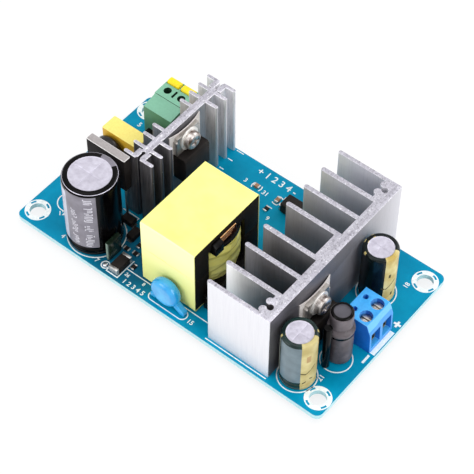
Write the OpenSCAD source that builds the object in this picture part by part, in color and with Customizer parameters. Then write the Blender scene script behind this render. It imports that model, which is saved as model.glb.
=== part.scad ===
// Open frame power supply: one board with its heatsinks, transformer, capacitors and two terminals.
// The origin is the centre of the four fixing holes on the underside of the board.
// +X runs from the mains end to the output end, +Y to the back edge, +Z up. All sizes are in mm.

/* [Board] */
// Length of the board
board_l = 107; // [103:0.5:140]
// Width of the board
board_w = 58.3; // [57.5:0.1:70]
// Thickness of the board
board_t = 1.6; // [1:0.1:2.4]
// Radius of the board's corners
board_corner_r = 2; // [0.5:0.1:3]
// Diameter of each fixing hole
fixing_hole_d = 4.7; // [3:0.1:5]
// Distance from a fixing hole's centre to the short edge
fixing_hole_inset_x = 3.8; // [3.5:0.05:5]
// Distance from a fixing hole's centre to the long edge
fixing_hole_inset_y = 4.9; // [3.5:0.05:5.2]
// Length of a trimmed lead below the board
lead_stub = 2; // [1.8:0.1:3]
// Radial clearance of a lead in its board hole
lead_clearance = 0.15; // [0.05:0.05:0.3]
// Width of the solder round a lead
solder_w = 0.55; // [0.3:0.05:0.6]
// Height of the solder cone
solder_h = 1.1; // [0.6:0.1:1.6]

/* [Heatsinks] */
// Height of both heatsinks above the board
sink_h = 25; // [24.9:0.1:32]
// Width of the slot into each pin channel of the output heatsink
output_slot_w = 0.9; // [0.5:0.1:1.2]
// Radius of the pins of the output heatsink
output_pin_r = 0.95; // [0.7:0.05:1.1]
// Thickness of the plate of the output heatsink
output_plate_t = 2.9; // [2:0.1:3.4]
// Distance from the right edge of the board to the outer face of the output plate
output_plate_from_right = 17.9; // [17.8:0.1:20]
// Margin between the output heatsink and the long edges of the board, below 0 where it overhangs
output_sink_margin = 0.55; // [0:0.05:1.5]
// Distance that the output heatsink is shifted towards the back
output_sink_shift = 1.05; // [0.5:0.05:1.5]
// Gap between the tips of the output fins and the transformer's rail
output_fin_gap = 4.4; // [1:0.1:6]
// Thickness of the output fins
output_fin_t = 1.4; // [1:0.1:1.8]
// Thickness of the two end fins
output_end_fin_t = 1.2; // [0.8:0.1:1.6]
// Number of fins on each half of the output heatsink
output_fins_per_half = 4; // [3:1:5]
// Distance between the two middle fins
output_middle_bay = 9.7; // [7:0.1:11]
// Extra thickness of the plate in the middle bay
output_middle_step = 1.4; // [0.4:0.1:2]
// Extra thickness of the plate in the end bays
output_end_step = 2.4; // [2:0.1:3]
// Distance from the outer face of the plate to the centre of a pin channel
output_channel_depth = 2.9; // [2.5:0.1:3.2]
// Distance from the end of the output heatsink to a pin channel
output_channel_inset = 3.9; // [3.5:0.1:5]
// Thickness of the plate of the primary heatsink
primary_plate_t = 2.3; // [1.6:0.1:2.6]
// Distance from the left edge of the board to the transistor face of the primary plate
primary_plate_from_left = 29; // [28.8:0.1:31]
// Margin between the primary heatsink and the back edge of the board
primary_sink_margin = 0.3; // [0.1:0.1:2]
// Gap between the primary heatsink and the bridge rectifier
primary_sink_gap = 0.6; // [0.3:0.1:1.2]
// Thickness of the fins of the primary heatsink
primary_fin_t = 1.1; // [0.8:0.1:1.4]
// Reach of the fins on the mains side of the primary plate
primary_left_reach = 3.9; // [2:0.1:4.2]
// Reach of the fins on the transistor side of the primary plate
primary_right_reach = 4; // [2:0.1:5]
// Distance between the two fins beside the switch transistor
primary_bay = 19.6; // [16:0.1:21]
// Thickness of the ends of the primary plate
primary_end_t = 4.2; // [3.4:0.1:4.6]
// Length of each thick end of the primary plate
primary_end_l = 3.5; // [3:0.1:3.8]
// Radius of the pins of the primary heatsink
primary_pin_r = 0.55; // [0.4:0.05:0.7]
// Distance from the end of the primary plate to a pin channel
primary_channel_inset = 2.65; // [2.3:0.05:2.8]
// Width of the slot into each pin channel of the primary heatsink
primary_slot_w = 0.8; // [0.5:0.1:0.9]
// Depth of a pin inside its heatsink
pin_grip = 6; // [4:0.5:10]

/* [Bulk capacitor] */
// Diameter over the sleeve
bulk_d = 16; // [14:0.1:16.2]
// Height above the board
bulk_h = 26.2; // [20:0.1:35]
// Radius of the bare metal disc at the top
bulk_disc_r = 6.1; // [4:0.1:6.8]
// Distance from the left edge of the board
bulk_from_left = 22; // [21.5:0.1:22.4]
// Distance from the front edge of the board
bulk_from_front = 8.95; // [8.5:0.05:9.2]
// Distance between its two leads
bulk_pitch = 7.5; // [5:0.5:10]

/* [Output capacitors] */
// Diameter over the sleeve
output_cap_d = 10; // [8:0.1:10.5]
// Height above the board
output_cap_h = 20; // [16:0.1:30]
// Radius of the bare metal disc at the top
output_cap_disc_r = 3.7; // [2.4:0.1:3.8]
// Distance from the right edge of the board
output_cap_from_right = 12.35; // [12:0.05:12.5]
// Distance from the front capacitor to the front edge
output_cap_from_front = 7.15; // [6.5:0.05:7.4]
// Distance from the back capacitor to the front edge
back_cap_from_front = 42.25; // [41:0.05:46]
// Distance between the two leads of an output capacitor
output_cap_pitch = 5; // [3.5:0.5:5]
// Thickness of the capacitor sleeves
sleeve_t = 0.2; // [0.1:0.05:0.3]
// Radius of the rounded shoulder of a can
can_round_r = 1; // [0.6:0.1:1.3]
// Radius of the capacitor leads
cap_lead_r = 0.4; // [0.3:0.05:0.45]

/* [Transformer] */
// Length of the core along the board's width
core_a = 26.8; // [26:0.1:27]
// Width of the core along the board's length
core_c = 18.5; // [17:0.1:18.7]
// Height of the two core halves together
core_h = 24; // [22:0.05:24.2]
// Gap between the core and the board
core_lift = 0.7; // [0.5:0.1:1]
// Height of the winding window
window_h = 15.6; // [13:0.1:16.2]
// Width of the window's mouth
window_mouth = 15.1; // [14:0.1:16]
// Diameter of the round legs' inner faces
window_d = 22.4; // [21.8:0.1:22.8]
// Diameter of the core's middle post
core_post_d = 12; // [10:0.1:12.5]
// Diameter over the winding
winding_d = 22; // [20:0.1:22.2]
// Thickness of the bobbin's wall and flanges
bobbin_t = 0.9; // [0.6:0.1:1.2]
// Thickness of the tape band round the core
tape_t = 0.25; // [0.1:0.05:0.4]
// Distance from the left edge of the board to the transformer's centre
transformer_from_left = 51.85; // [51.6:0.05:54]
// Distance from the front edge of the board to the transformer's centre
transformer_from_front = 19.15; // [19.05:0.05:20]
// Reach of the bobbin's pin rails from the core
rail_reach = 3; // [2.6:0.1:3.4]
// Distance between two transformer pins
transformer_pin_pitch = 3.8; // [3.5:0.1:3.9]
// Radius of the transformer pins
transformer_pin_r = 0.4; // [0.3:0.05:0.5]
// Radius of one enamelled lead-out wire
wire_r = 0.3; // [0.2:0.05:0.35]

/* [Bridge rectifier] */
// Length of the body
bridge_l = 13.9; // [13:0.1:14.2]
// Thickness of the body
bridge_t = 2.6; // [2:0.1:2.8]
// Height of the body
bridge_h = 12.5; // [10:0.1:14]
// Height of the body's lower edge above the board
bridge_lift = 12.5; // [2:0.1:14]
// Distance from the left edge of the board
bridge_from_left = 19.05; // [19:0.05:19.4]
// Distance from the front edge of the board
bridge_from_front = 19.55; // [19.3:0.05:19.8]
// Distance between two of its leads
bridge_pitch = 3.8; // [3.5:0.1:3.9]

/* [Small upright parts] */
// Length of the box capacitor
box_cap_l = 13; // [12:0.1:13.2]
// Thickness of the box capacitor
box_cap_t = 5.6; // [4:0.1:5.8]
// Height of the box capacitor
box_cap_h = 12.5; // [9:0.1:14]
// Distance between its two leads
box_cap_pitch = 10; // [7.5:0.5:10.5]
// Diameter of the thermistor
thermistor_d = 9; // [7:0.1:9.2]
// Thickness of the thermistor
thermistor_t = 3.6; // [2.5:0.1:3.8]
// Length of the fuse
fuse_l = 8.4; // [8:0.1:8.6]
// Thickness of the fuse
fuse_t = 4; // [3.5:0.1:4.3]
// Height of the fuse
fuse_h = 8; // [6:0.1:10]
// Diameter of the blue disc capacitor
disc_cap_d = 9.2; // [7:0.1:9.4]
// Thickness of the blue disc capacitor
disc_cap_t = 3.6; // [2.5:0.1:3.8]
// Distance between the leads of the blue disc capacitor
disc_cap_pitch = 10; // [8:0.5:10.5]
// Distance between the leads of the thermistor
thermistor_pitch = 7.5; // [5:0.5:7.5]
// Height of the thermistor's lower edge above the board
thermistor_lift = 3; // [1:0.1:4]
// Length of the film capacitor
film_l = 5.2; // [4:0.1:5.4]
// Thickness of the film capacitor
film_t = 1.5; // [1:0.1:1.8]
// Height of the film capacitor
film_h = 7; // [5:0.1:8]
// Gap between an upright part and the board
seat_gap = 0.3; // [0.2:0.05:0.5]
// Radius of the leads of the small parts
small_lead_r = 0.3; // [0.2:0.05:0.35]

/* [Places of the small parts] */
// Distance from the left edge of the board to the box capacitor
box_cap_from_left = 11.3; // [10.5:0.1:12]
// Distance from the back edge of the board to the box capacitor
box_cap_from_back = 23.55; // [23.4:0.05:24]
// Distance from the left edge of the board to the thermistor
thermistor_from_left = 9; // [6:0.1:12]
// Distance from the back edge of the board to the thermistor
thermistor_from_back = 28.55; // [28.4:0.05:29.5]
// Distance from the left edge of the board to the fuse
fuse_from_left = 16.7; // [15:0.1:17]
// Distance from the back edge of the board to the fuse
fuse_from_back = 17.15; // [16.9:0.05:17.3]
// Distance from the transformer's centre to the disc capacitor, towards the output end
disc_cap_right = 1.05; // [-4:0.05:4]
// Distance from the front edge of the board to the disc capacitor
disc_cap_from_front = 3.15; // [2.6:0.05:3.3]
// Distance from the left edge of the board to the film capacitor
film_from_left = 30.95; // [30.9:0.05:31.3]
// Distance from the front edge of the board to the film capacitor
film_from_front = 6.75; // [5:0.05:8]
// Distance from the left edge of the board to the block resistor
block_from_left = 35; // [34.2:0.1:36]
// Distance from the front edge of the board to the block resistor
block_from_front = 4.75; // [4.4:0.05:5]
// Distance from the transformer's centre to the optocoupler, towards the output end
optocoupler_right = 8.55; // [7:0.05:9]
// Distance from the back edge of the board to the optocoupler
optocoupler_from_back = 8.55; // [6:0.05:12]
// Distance from the left edge of the board to the controller chip
controller_from_left = 38; // [35:0.5:42]
// Distance of the controller chip from the board's middle line, towards the back
controller_back = 6; // [0:0.5:8]

/* [Input terminal] */
// Length of the housing
input_l = 10.2; // [10:0.1:10.6]
// Depth of the housing
input_depth = 12.7; // [12:0.1:12.8]
// Height of the housing at its back
input_h = 14.3; // [13:0.1:16]
// Drop of the roof from the step to the front
input_roof_drop = 1.6; // [0.8:0.1:2.4]
// Distance between the two poles
input_pitch = 5.08; // [5:0.01:5.1]
// Diameter of each test hole in the roof
input_test_d = 2.4; // [1.6:0.1:2.6]
// Diameter of each wire entry
input_entry_d = 3; // [2:0.1:3.2]
// Height of the wire entries above the board
input_entry_z = 4; // [3:0.1:4.5]
// Distance from the left edge of the board to the middle of the terminal
input_from_left = 14; // [13:0.1:15]
// Distance from the back edge of the board to the housing
input_from_back = 0.25; // [0.1:0.05:1]
// Width of a push button
button_w = 4.3; // [3.6:0.1:4.4]
// Thickness of a push button
button_t = 2.2; // [1.6:0.1:2.4]
// Height of a push button
button_h = 6.5; // [5.5:0.1:7]
// Travel of a push button
button_travel = 1.2; // [0.8:0.1:1.5]
// Clearance round a push button
button_clearance = 0.15; // [0.1:0.01:0.2]
// Height of a button's top above the roof at rest
button_proud = 0.9; // [0.4:0.1:1.5]

/* [Output terminal] */
// Depth of the housing at the board
output_depth = 9.4; // [9:0.1:9.6]
// Width of the housing
output_w = 10.3; // [10.1:0.1:10.6]
// Height of the housing
output_h = 11; // [10:0.1:12]
// Distance between the two poles
output_pitch = 5; // [5:0.01:5.08]
// Diameter of each screw well
well_d = 3.7; // [3.2:0.1:3.9]
// Width of each wire entry
entry_w = 3.9; // [3:0.1:3.9]
// Height of each wire entry
entry_h = 5.2; // [4:0.1:5.4]
// Distance from the right edge of the board to the housing
output_from_right = 1.7; // [1.2:0.1:2]
// Distance from the front edge of the board to the housing's middle
output_from_front = 29.7; // [29.4:0.05:30.4]

/* [Power packages] */
// Width of a package body
package_w = 10.4; // [10:0.1:10.6]
// Height of a package body
package_h = 9.2; // [8.5:0.1:9.4]
// Thickness of a package from the back of its tab
package_t = 4.5; // [4:0.1:4.8]
// Thickness of a metal tab
tab_t = 1.3; // [1.2:0.05:1.4]
// Width of a metal tab
tab_w = 10; // [9.6:0.1:10]
// Height of a tab above its body
tab_h = 6.4; // [6:0.1:6.6]
// Diameter of the hole in a tab
tab_hole_d = 3.8; // [3.6:0.1:4]
// Distance from the top of a tab to its hole
tab_hole_drop = 2.8; // [2.6:0.05:3]
// Distance between two leads of a package
package_pitch = 2.54; // [2.5:0.01:2.6]
// Radius of a package's leads
package_lead_r = 0.4; // [0.3:0.05:0.45]
// Thickness of an insulating pad
pad_t = 0.3; // [0.2:0.05:0.4]
// Margin of an insulating pad round its tab
pad_margin = 1.5; // [1:0.1:1.6]
// Height of the transistor's body above the board
transistor_lift = 6.7; // [5:0.1:6.9]
// Height of the output rectifier's body above the board
rectifier_lift = 2; // [1.5:0.1:6]
// Distance of the output rectifier from the middle of its bay, towards the front
rectifier_shift = 1; // [0:0.1:1.2]
// Diameter of the package screws
screw_d = 3; // [2.5:0.1:3]
// Diameter of a screw head
screw_head_d = 5.6; // [5:0.1:6]
// Height of a screw head
screw_head_h = 2; // [1.6:0.1:2.4]
// Diameter of a washer
washer_d = 7.6; // [6.5:0.1:8]
// Thickness of a washer
washer_t = 0.5; // [0.3:0.1:0.8]
// Length that a screw reaches past its plate
screw_past = 1; // [0.5:0.1:2]

/* [Choke] */
// Diameter over the choke's sleeve
choke_d = 7.2; // [6.5:0.1:7.6]
// Height of the choke
choke_h = 20; // [16:0.1:22]
// Height of the bulge over the winding
choke_bulge_h = 14; // [11:0.1:15]
// Diameter of the choke's rod core
choke_core_d = 5.2; // [4.6:0.1:5.4]
// Thickness of the choke's heat-shrink sleeve
choke_sleeve_t = 0.3; // [0.2:0.05:0.4]
// Diameter of the sleeved return lead
return_lead_d = 2.3; // [1.6:0.1:2.4]
// Distance from the right edge of the board to the choke
choke_from_right = 7.9; // [7.7:0.1:8]
// Distance from the front edge of the board to the choke
choke_from_front = 19.25; // [19.1:0.05:19.4]

/* [Optocoupler and chips] */
// Length of the optocoupler
opto_l = 6.4; // [6:0.1:6.6]
// Width of the optocoupler
opto_w = 4.6; // [4.4:0.1:4.8]
// Height of the optocoupler's body
opto_h = 3.4; // [3:0.1:3.6]
// Length of the block resistor
block_l = 6.4; // [6:0.1:6.6]
// Width of the block resistor
block_w = 3.1; // [2.8:0.1:3.3]
// Height of the block resistor
block_h = 2.2; // [1.6:0.1:2.4]
// Length of a chip capacitor
chip_l = 2; // [1.6:0.1:2.2]
// Width of a chip capacitor
chip_w = 1.25; // [1:0.05:1.3]
// Height of a chip part
chip_h = 0.8; // [0.4:0.1:1]
// Length of each metal end, as a share of the chip
chip_end_share = 0.2; // [0.15:0.01:0.25]
// Length of a surface diode
diode_l = 4.3; // [4:0.1:4.5]
// Width of a surface diode
diode_w = 2.4; // [2:0.1:2.5]
// Height of a surface diode
diode_h = 2.1; // [1.8:0.1:2.3]
// Length of the controller chip under the board
controller_l = 4.9; // [4.6:0.1:5]
// Width of the controller chip under the board
controller_w = 3.9; // [3.7:0.1:4]
// Thickness of the controller chip
controller_h = 1.4; // [1:0.05:1.5]

/* [Hidden] */
$fn = 48;
// How far a cutting solid reaches past what it cuts
cut = 1;

// Places that several parts share
left = -board_l / 2;
right = board_l / 2;
front = -board_w / 2;
back = board_w / 2;
hole_x = right - fixing_hole_inset_x;
hole_y = back - fixing_hole_inset_y;

output_face = right - output_plate_from_right;
output_sink_half = board_w / 2 - output_sink_margin;
output_sink_y = output_sink_shift;
output_fin_first = output_middle_bay / 2;
output_fin_step = (output_sink_half - output_end_fin_t / 2 - output_fin_first) / (output_fins_per_half - 1);
output_channel_x = output_face - output_channel_depth;
channel_lip_r = 1.1;
channel_lip_inset = 1.2;
channel_slot_l = 4;
output_channel_ys = [for (s = [-1, 1]) output_sink_y + s * (output_sink_half - output_channel_inset)];

primary_face = left + primary_plate_from_left;
primary_back_face = primary_face - primary_plate_t;
primary_mid = primary_face - primary_plate_t / 2;
bridge_y = front + bridge_from_front;
primary_sink_l = back - primary_sink_margin - (bridge_y + bridge_t / 2 + primary_sink_gap);
primary_half = primary_sink_l / 2;
primary_y = back - primary_sink_margin - primary_half;
primary_fin_pitch = (primary_half - primary_fin_t / 2 - primary_bay / 2) / 2;
primary_channel_ys = [for (s = [-1, 1]) primary_y + s * (primary_half - primary_channel_inset)];

bulk_x = left + bulk_from_left;
bulk_y = front + bulk_from_front;
output_cap_x = right - output_cap_from_right;
front_cap_y = front + output_cap_from_front;
back_cap_y = front + back_cap_from_front;
can_groove_z = 2.6;
can_groove_r = 0.5;
can_foot_r = 0.5;
disc_recess = 0.3;
vent_w = 0.35;
vent_depth = 0.25;
vent_share = 0.85;

transformer_x = left + transformer_from_left;
transformer_y = front + transformer_from_front;
core_z = core_lift;
window_z = core_z + (core_h - window_h) / 2;
flange_gap = 0.15;
post_gap = 0.2;
bobbin_bore = core_post_d + 2 * post_gap;
tongue_w = window_mouth - 2;
bobbin_top = window_z + window_h - flange_gap;
bobbin_foot = window_z + flange_gap;
flange_r = window_d / 2 - 0.3;
rail_w = 2.4;
rail_x = core_c / 2 + rail_reach - rail_w / 2;
output_fin_tip = transformer_x + core_c / 2 + rail_reach + output_fin_gap;
rail_h = window_z - 0.2;
rail_l = 5 * transformer_pin_pitch + 2.4;
lug_y0 = -6.7;
lug_y1 = -3.5;
lug_gap = 0.15;
lug_t = 1.6;
lug_rise = 3;
lug_chamfer = 0.9;
wire_step = 2.25;
wires_l = 3.6;

moulding_r = 0.4;
bridge_x = left + bridge_from_left;
bridge_lead_r = 0.42;

box_cap_x = left + box_cap_from_left;
box_cap_y = back - box_cap_from_back;
thermistor_x = left + thermistor_from_left;
thermistor_y = back - thermistor_from_back;
fuse_x = left + fuse_from_left;
fuse_y = back - fuse_from_back;
disc_cap_x = transformer_x + disc_cap_right;
disc_cap_y = front + disc_cap_from_front;
disc_lift = 0.7;
disc_lead_shift = 0.85;
disc_foot_t = 1.7;
disc_lead_top = 1.4;
thermistor_lead_top = thermistor_lift + 2.5;
film_x = left + film_from_left;
film_y = front + film_from_front;
film_pitch = film_l - 0.6;

input_x = left + input_from_left;
input_back = back - input_from_back;
input_front = input_back - input_depth;
input_ledge = 7.6;
input_step_y = input_back - input_ledge;
input_pin_places = [2.4, 7.4];
test_hole_y = 2.7;
test_hole_depth = 4;
entry_depth = 6;
roof_slot = [0.7, 2.6, 1.5];
pocket_depth = button_t + 2 * button_clearance;
button_z = input_h + button_proud - button_h;
pocket_z = button_z - button_travel - 0.3;
button_wall = 0.25;
spring_t = 0.4;
spring_w = 3;
spring_inset = 1.9;
spring_reach = 3.4;
spring_room = 0.8;
spring_l = 0.4 * input_depth;
spring_h = 0.48 * input_h;
input_pin_r = 0.5;

output_x = right - output_from_right;
output_y = front + output_from_front;
output_inner = output_x - output_depth;
well_inset = 3.8;
well_x = output_x - well_inset;
entry_z = 1.5;
cage_t = 0.5;
cage_gap = 0.1;
cage_depth = 4.6;
cage_screw_d = 2.4;
screw_top_z = output_h - 1.6;
screw_slot = [0.7, 0.9];
cage_h = entry_h + 0.6;
cage_z = entry_z - cage_gap;
probe_d = 1.6;
probe_inset = 1.8;
probe_depth = 3;
output_pin_x = well_x;
terminal_pin_r = 0.55;

transistor_y = primary_y;
rectifier_y = output_sink_y - output_fin_first - output_fin_step / 2 - rectifier_shift;
package_lead_x = 2.6;
tab_foot = 0.8;
tab_notch_r = 0.7;
tab_notch_drop = 0.6;
recess = [3, 0.7, 1.1];

choke_x = right - choke_from_right;
choke_y = front + choke_from_front;
choke_lift = 0.4;
choke_collar_r = choke_d / 2 - 0.4;
choke_bulge = 0.25;
choke_rim = 0.4;
return_x = choke_x - 0.6;
return_y = choke_y - choke_d / 2 - choke_bulge - return_lead_d / 2 - 0.1;
return_h = 17.5;

opto_x = transformer_x + optocoupler_right;
opto_y = back - optocoupler_from_back;
opto_lift = 0.4;
leg_pitch = 2.54;
leg_row = 7.62;
leg_w = 1;
leg_t = 0.25;
block_x = left + block_from_left;
block_y = front + block_from_front;
block_place = [block_x, block_y, block_l, block_w, block_h, 90];
block_end_l = 0.9;

// Places of the chip parts as [from the left edge, from the back or front edge, turn]
chip_cap_places = [[46.5, 7.65, 0], [54.3, 7.95, 90]];
back_resistor_places = [[53.7, 12.4, 90]];
front_resistor_places = [[38.2, 6.65, 90], [32.5, 10.3, 0], [35.6, 10.5, 0], [34.6, 13.3, 90]];
diode_places = [[31.2, 14.95, 90], [26.7, 17.85, 0]];
resistor_h = 0.55;

// Each chip part as [x, y, length, width, height, turn]
chip_caps = [for (p = chip_cap_places) [left + p.x, back - p.y, chip_l, chip_w, chip_h, p.z]];
chip_ress = concat(
    [for (p = back_resistor_places) [left + p.x, back - p.y, chip_l, chip_w, resistor_h, p.z]],
    [for (p = front_resistor_places) [left + p.x, front + p.y, chip_l, chip_w, resistor_h, p.z]]
);
diodes = [for (p = diode_places) [left + p.x, front + p.y, diode_l, diode_w, diode_h, p.z]];
diode_tab_l = 0.7;
diode_tab_w = 1.5;
diode_tab_t = 0.2;
diode_draft = 0.3;
controller = [left + controller_from_left, controller_back];
controller_gap = 0.1;
chip_leg_pitch = 1.27;
chip_leg_w = 0.4;
chip_leg_t = 0.2;

// Lead places as [x, y, radius]
bulk_leads = [for (s = [-1, 1]) [bulk_x, bulk_y + s * bulk_pitch / 2, cap_lead_r]];
output_cap_leads = [
    for (y = [front_cap_y, back_cap_y]) for (s = [-1, 1])
        [output_cap_x, y + s * output_cap_pitch / 2, cap_lead_r]
];
bridge_lead_places = [for (i = [0:3]) [bridge_x + (i - 1.5) * bridge_pitch, bridge_y, bridge_lead_r]];
box_cap_leads = [for (s = [-1, 1]) [box_cap_x + s * box_cap_pitch / 2, box_cap_y, small_lead_r]];
thermistor_leads = [for (s = [-1, 1]) [thermistor_x + s * thermistor_pitch / 2, thermistor_y, small_lead_r]];
fuse_leads = [for (s = [-1, 1]) [fuse_x + s * (fuse_l / 2 - 1.7), fuse_y, small_lead_r]];
disc_leads = [
    for (s = [-1, 1]) [disc_cap_x + disc_lead_shift + s * disc_cap_pitch / 2, disc_cap_y, small_lead_r]
];
film_leads = [for (s = [-1, 1]) [film_x, film_y + s * film_pitch / 2, small_lead_r]];
input_pins = [
    for (s = [-1, 1]) for (y = input_pin_places)
        [input_x + s * input_pitch / 2, input_front + y, input_pin_r]
];
output_pins = [for (s = [-1, 1]) [output_pin_x, output_y + s * output_pitch / 2, terminal_pin_r]];
transistor_leads = [
    for (i = [-1:1]) [primary_face + pad_t + package_lead_x, transistor_y + i * package_pitch, package_lead_r]
];
rectifier_leads = [
    for (i = [-1:1]) [output_face + pad_t + package_lead_x, rectifier_y + i * package_pitch, package_lead_r]
];
choke_lead_places = [[choke_x, choke_y, cap_lead_r], [return_x, return_y, cap_lead_r]];
opto_legs = [
    for (s = [-1, 1]) for (t = [-1, 1])
        [opto_x + s * leg_row / 2, opto_y + t * leg_pitch / 2, small_lead_r]
];
transformer_pin_places = [
    for (s = [-1, 1]) for (i = [0:5])
        [transformer_x + s * rail_x, transformer_y + (i - 2.5) * transformer_pin_pitch, transformer_pin_r]
];
primary_pins = [for (y = primary_channel_ys) [primary_mid, y, primary_pin_r]];
output_sink_pins = [for (y = output_channel_ys) [output_channel_x, y, output_pin_r]];
all_leads = concat(
    bulk_leads, output_cap_leads, bridge_lead_places, box_cap_leads, thermistor_leads, fuse_leads,
    disc_leads, film_leads, input_pins, output_pins, transistor_leads, rectifier_leads,
    choke_lead_places, opto_legs, transformer_pin_places, primary_pins, output_sink_pins
);

// Points along an arc, for turned outlines
function arc(cx, cy, r, a0, a1, n = 6) = [
    for (i = [0:n]) let (a = a0 + (a1 - a0) * i / n) [cx + r * cos(a), cy + r * sin(a)]
];

// Lifts its children from the underside of the board to its top face
module above_board(x = 0, y = 0, z = 0) {
    translate([x, y, board_t + z]) children();
}

// Rectangle with rounded corners, centred
module rounded_square(l, w, r) {
    square([l - 2 * r, w], center = true);
    square([l, w - 2 * r], center = true);
    for (sx = [-1, 1]) for (sy = [-1, 1])
        translate([sx * (l / 2 - r), sy * (w / 2 - r)]) circle(r = r);
}

// Upright block with rounded vertical edges
module rounded_block(l, w, h, r) {
    linear_extrude(h) rounded_square(l, w, r);
}

// Straight leads from a height above the board down to their trimmed ends
module leads(places, top) {
    for (p = places)
        translate([p.x, p.y, -lead_stub]) cylinder(r = p.z, h = top + board_t + lead_stub, $fn = 24);
}

// Round wire between two points
module wire(a, b, r) {
    d = b - a;
    translate(a) rotate([0, acos(d.z / norm(d)), atan2(d.y, d.x)]) cylinder(r = r, h = norm(d), $fn = 16);
}

module circuit_board() {
    color([0.0, 0.45, 0.6]) difference() {
        linear_extrude(board_t) rounded_square(board_l, board_w, board_corner_r);
        for (sx = [-1, 1]) for (sy = [-1, 1])
            translate([sx * hole_x, sy * hole_y, -cut]) cylinder(d = fixing_hole_d, h = board_t + 2 * cut);
        for (p = all_leads)
            translate([p.x, p.y, -cut]) cylinder(r = p.z + lead_clearance, h = board_t + 2 * cut, $fn = 24);
    }
}

module solder_joints() {
    color([0.78, 0.78, 0.8]) for (p = all_leads)
        translate([p.x, p.y, 0]) rotate_extrude($fn = 24) polygon([
            [p.z, 0], [p.z + solder_w, 0], [p.z + solder_w, -0.1],
            [p.z + solder_w * 0.4, -solder_h * 0.5], [p.z + 0.08, -solder_h], [p.z, -solder_h]
        ]);
}

// One output fin with a round tip, reaching from the plate towards the transformer
module output_fin(y, t) {
    translate([output_fin_tip + t / 2, y - t / 2]) square([output_face - output_fin_tip - t / 2 - cut, t]);
    translate([output_fin_tip + t / 2, y]) circle(d = t, $fn = 24);
}

// Thick part of the output plate in an end bay, with the round lips of its slot
module output_end_bay(s, channel_y) {
    y_in = output_sink_y + s * (output_fin_first + (output_fins_per_half - 2) * output_fin_step);
    y_out = output_sink_y + s * (output_sink_half - output_end_fin_t / 2);
    floor_x = output_face - output_plate_t - output_end_step + channel_lip_inset;
    translate([floor_x, min(y_in, y_out)]) square([output_face - floor_x - cut, abs(y_out - y_in)]);
    for (t = [-1, 1])
        translate([floor_x, channel_y + t * (output_slot_w / 2 + channel_lip_r)])
            circle(r = channel_lip_r, $fn = 24);
}

module output_heatsink_outline() {
    difference() {
        union() {
            translate([output_face - output_plate_t, output_sink_y - output_sink_half])
                square([output_plate_t, 2 * output_sink_half]);
            translate([output_face - output_plate_t - output_middle_step, output_sink_y - output_fin_first])
                square([output_middle_step + cut, output_middle_bay]);
            for (s = [-1, 1]) {
                for (i = [0:output_fins_per_half - 2])
                    output_fin(output_sink_y + s * (output_fin_first + i * output_fin_step), output_fin_t);
                output_fin(output_sink_y + s * (output_sink_half - output_end_fin_t / 2), output_end_fin_t);
                output_end_bay(s, output_channel_ys[(s + 1) / 2]);
            }
        }
        for (y = output_channel_ys) {
            translate([output_channel_x, y]) circle(r = output_pin_r, $fn = 32);
            translate([output_channel_x - channel_slot_l, y - output_slot_w / 2])
                square([channel_slot_l, output_slot_w]);
        }
    }
}

module output_heatsink() {
    color([0.72, 0.72, 0.76]) difference() {
        above_board() linear_extrude(sink_h) output_heatsink_outline();
        package_screw_hole(output_face, rectifier_y, rectifier_lift, output_plate_t + output_middle_step);
    }
}

// Threaded hole through a heatsink plate, at a package's screw
module package_screw_hole(face_x, y, lift, depth) {
    above_board(face_x + cut, y, tab_hole_z(lift)) rotate([0, -90, 0])
        cylinder(d = screw_d, h = depth + 2 * cut);
}

function tab_hole_z(lift) = lift + package_h + tab_h - tab_hole_drop;

// One fin of the primary heatsink, on side s of the plate, with a round tip
module primary_fin(s, y, reach) {
    root_x = s > 0 ? primary_face - cut : primary_back_face + cut;
    tip_x = s > 0 ? primary_face + reach - primary_fin_t / 2 : primary_back_face - reach + primary_fin_t / 2;
    translate([min(root_x, tip_x), y - primary_fin_t / 2]) square([abs(tip_x - root_x), primary_fin_t]);
    translate([tip_x, y]) circle(d = primary_fin_t, $fn = 24);
}

module primary_heatsink_outline() {
    difference() {
        union() {
            translate([primary_back_face, primary_y - primary_half])
                square([primary_plate_t, primary_sink_l]);
            for (s = [-1, 1]) {
                end_y = primary_y + s * (primary_half - primary_end_l / 2);
                outer_fin_y = primary_y + s * (primary_half - primary_fin_t / 2);
                translate([primary_mid - primary_end_t / 2, end_y - primary_end_l / 2])
                    square([primary_end_t, primary_end_l]);
                for (i = [0:3]) primary_fin(-1, outer_fin_y - s * i * primary_fin_pitch, primary_left_reach);
                for (i = [0:2]) primary_fin(1, outer_fin_y - s * i * primary_fin_pitch, primary_right_reach);
            }
        }
        for (s = [-1, 1]) {
            y = primary_channel_ys[(s + 1) / 2];
            translate([primary_mid, y]) circle(r = primary_pin_r, $fn = 32);
            translate([primary_mid - primary_slot_w / 2, min(y, y + s * channel_slot_l)])
                square([primary_slot_w, channel_slot_l]);
            translate([primary_mid, primary_y + s * primary_half]) circle(r = primary_slot_w, $fn = 32);
        }
    }
}

module primary_heatsink() {
    color([0.6, 0.6, 0.63]) difference() {
        above_board() linear_extrude(sink_h) primary_heatsink_outline();
        package_screw_hole(primary_face, transistor_y, transistor_lift, primary_plate_t);
    }
}

module heatsink_pins() {
    color([0.8, 0.8, 0.82]) leads(concat(primary_pins, output_sink_pins), pin_grip);
}

// Outline of a can turned about its axis: a groove near the foot and a round shoulder at the top
function can_side(r, h, inset) = concat(
    [[r - can_foot_r, inset], [r, inset + can_foot_r]],
    arc(r, can_groove_z, can_groove_r, -90, -270, 6),
    arc(r - can_round_r, h - can_round_r, can_round_r, 0, 90, 6)
);

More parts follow.
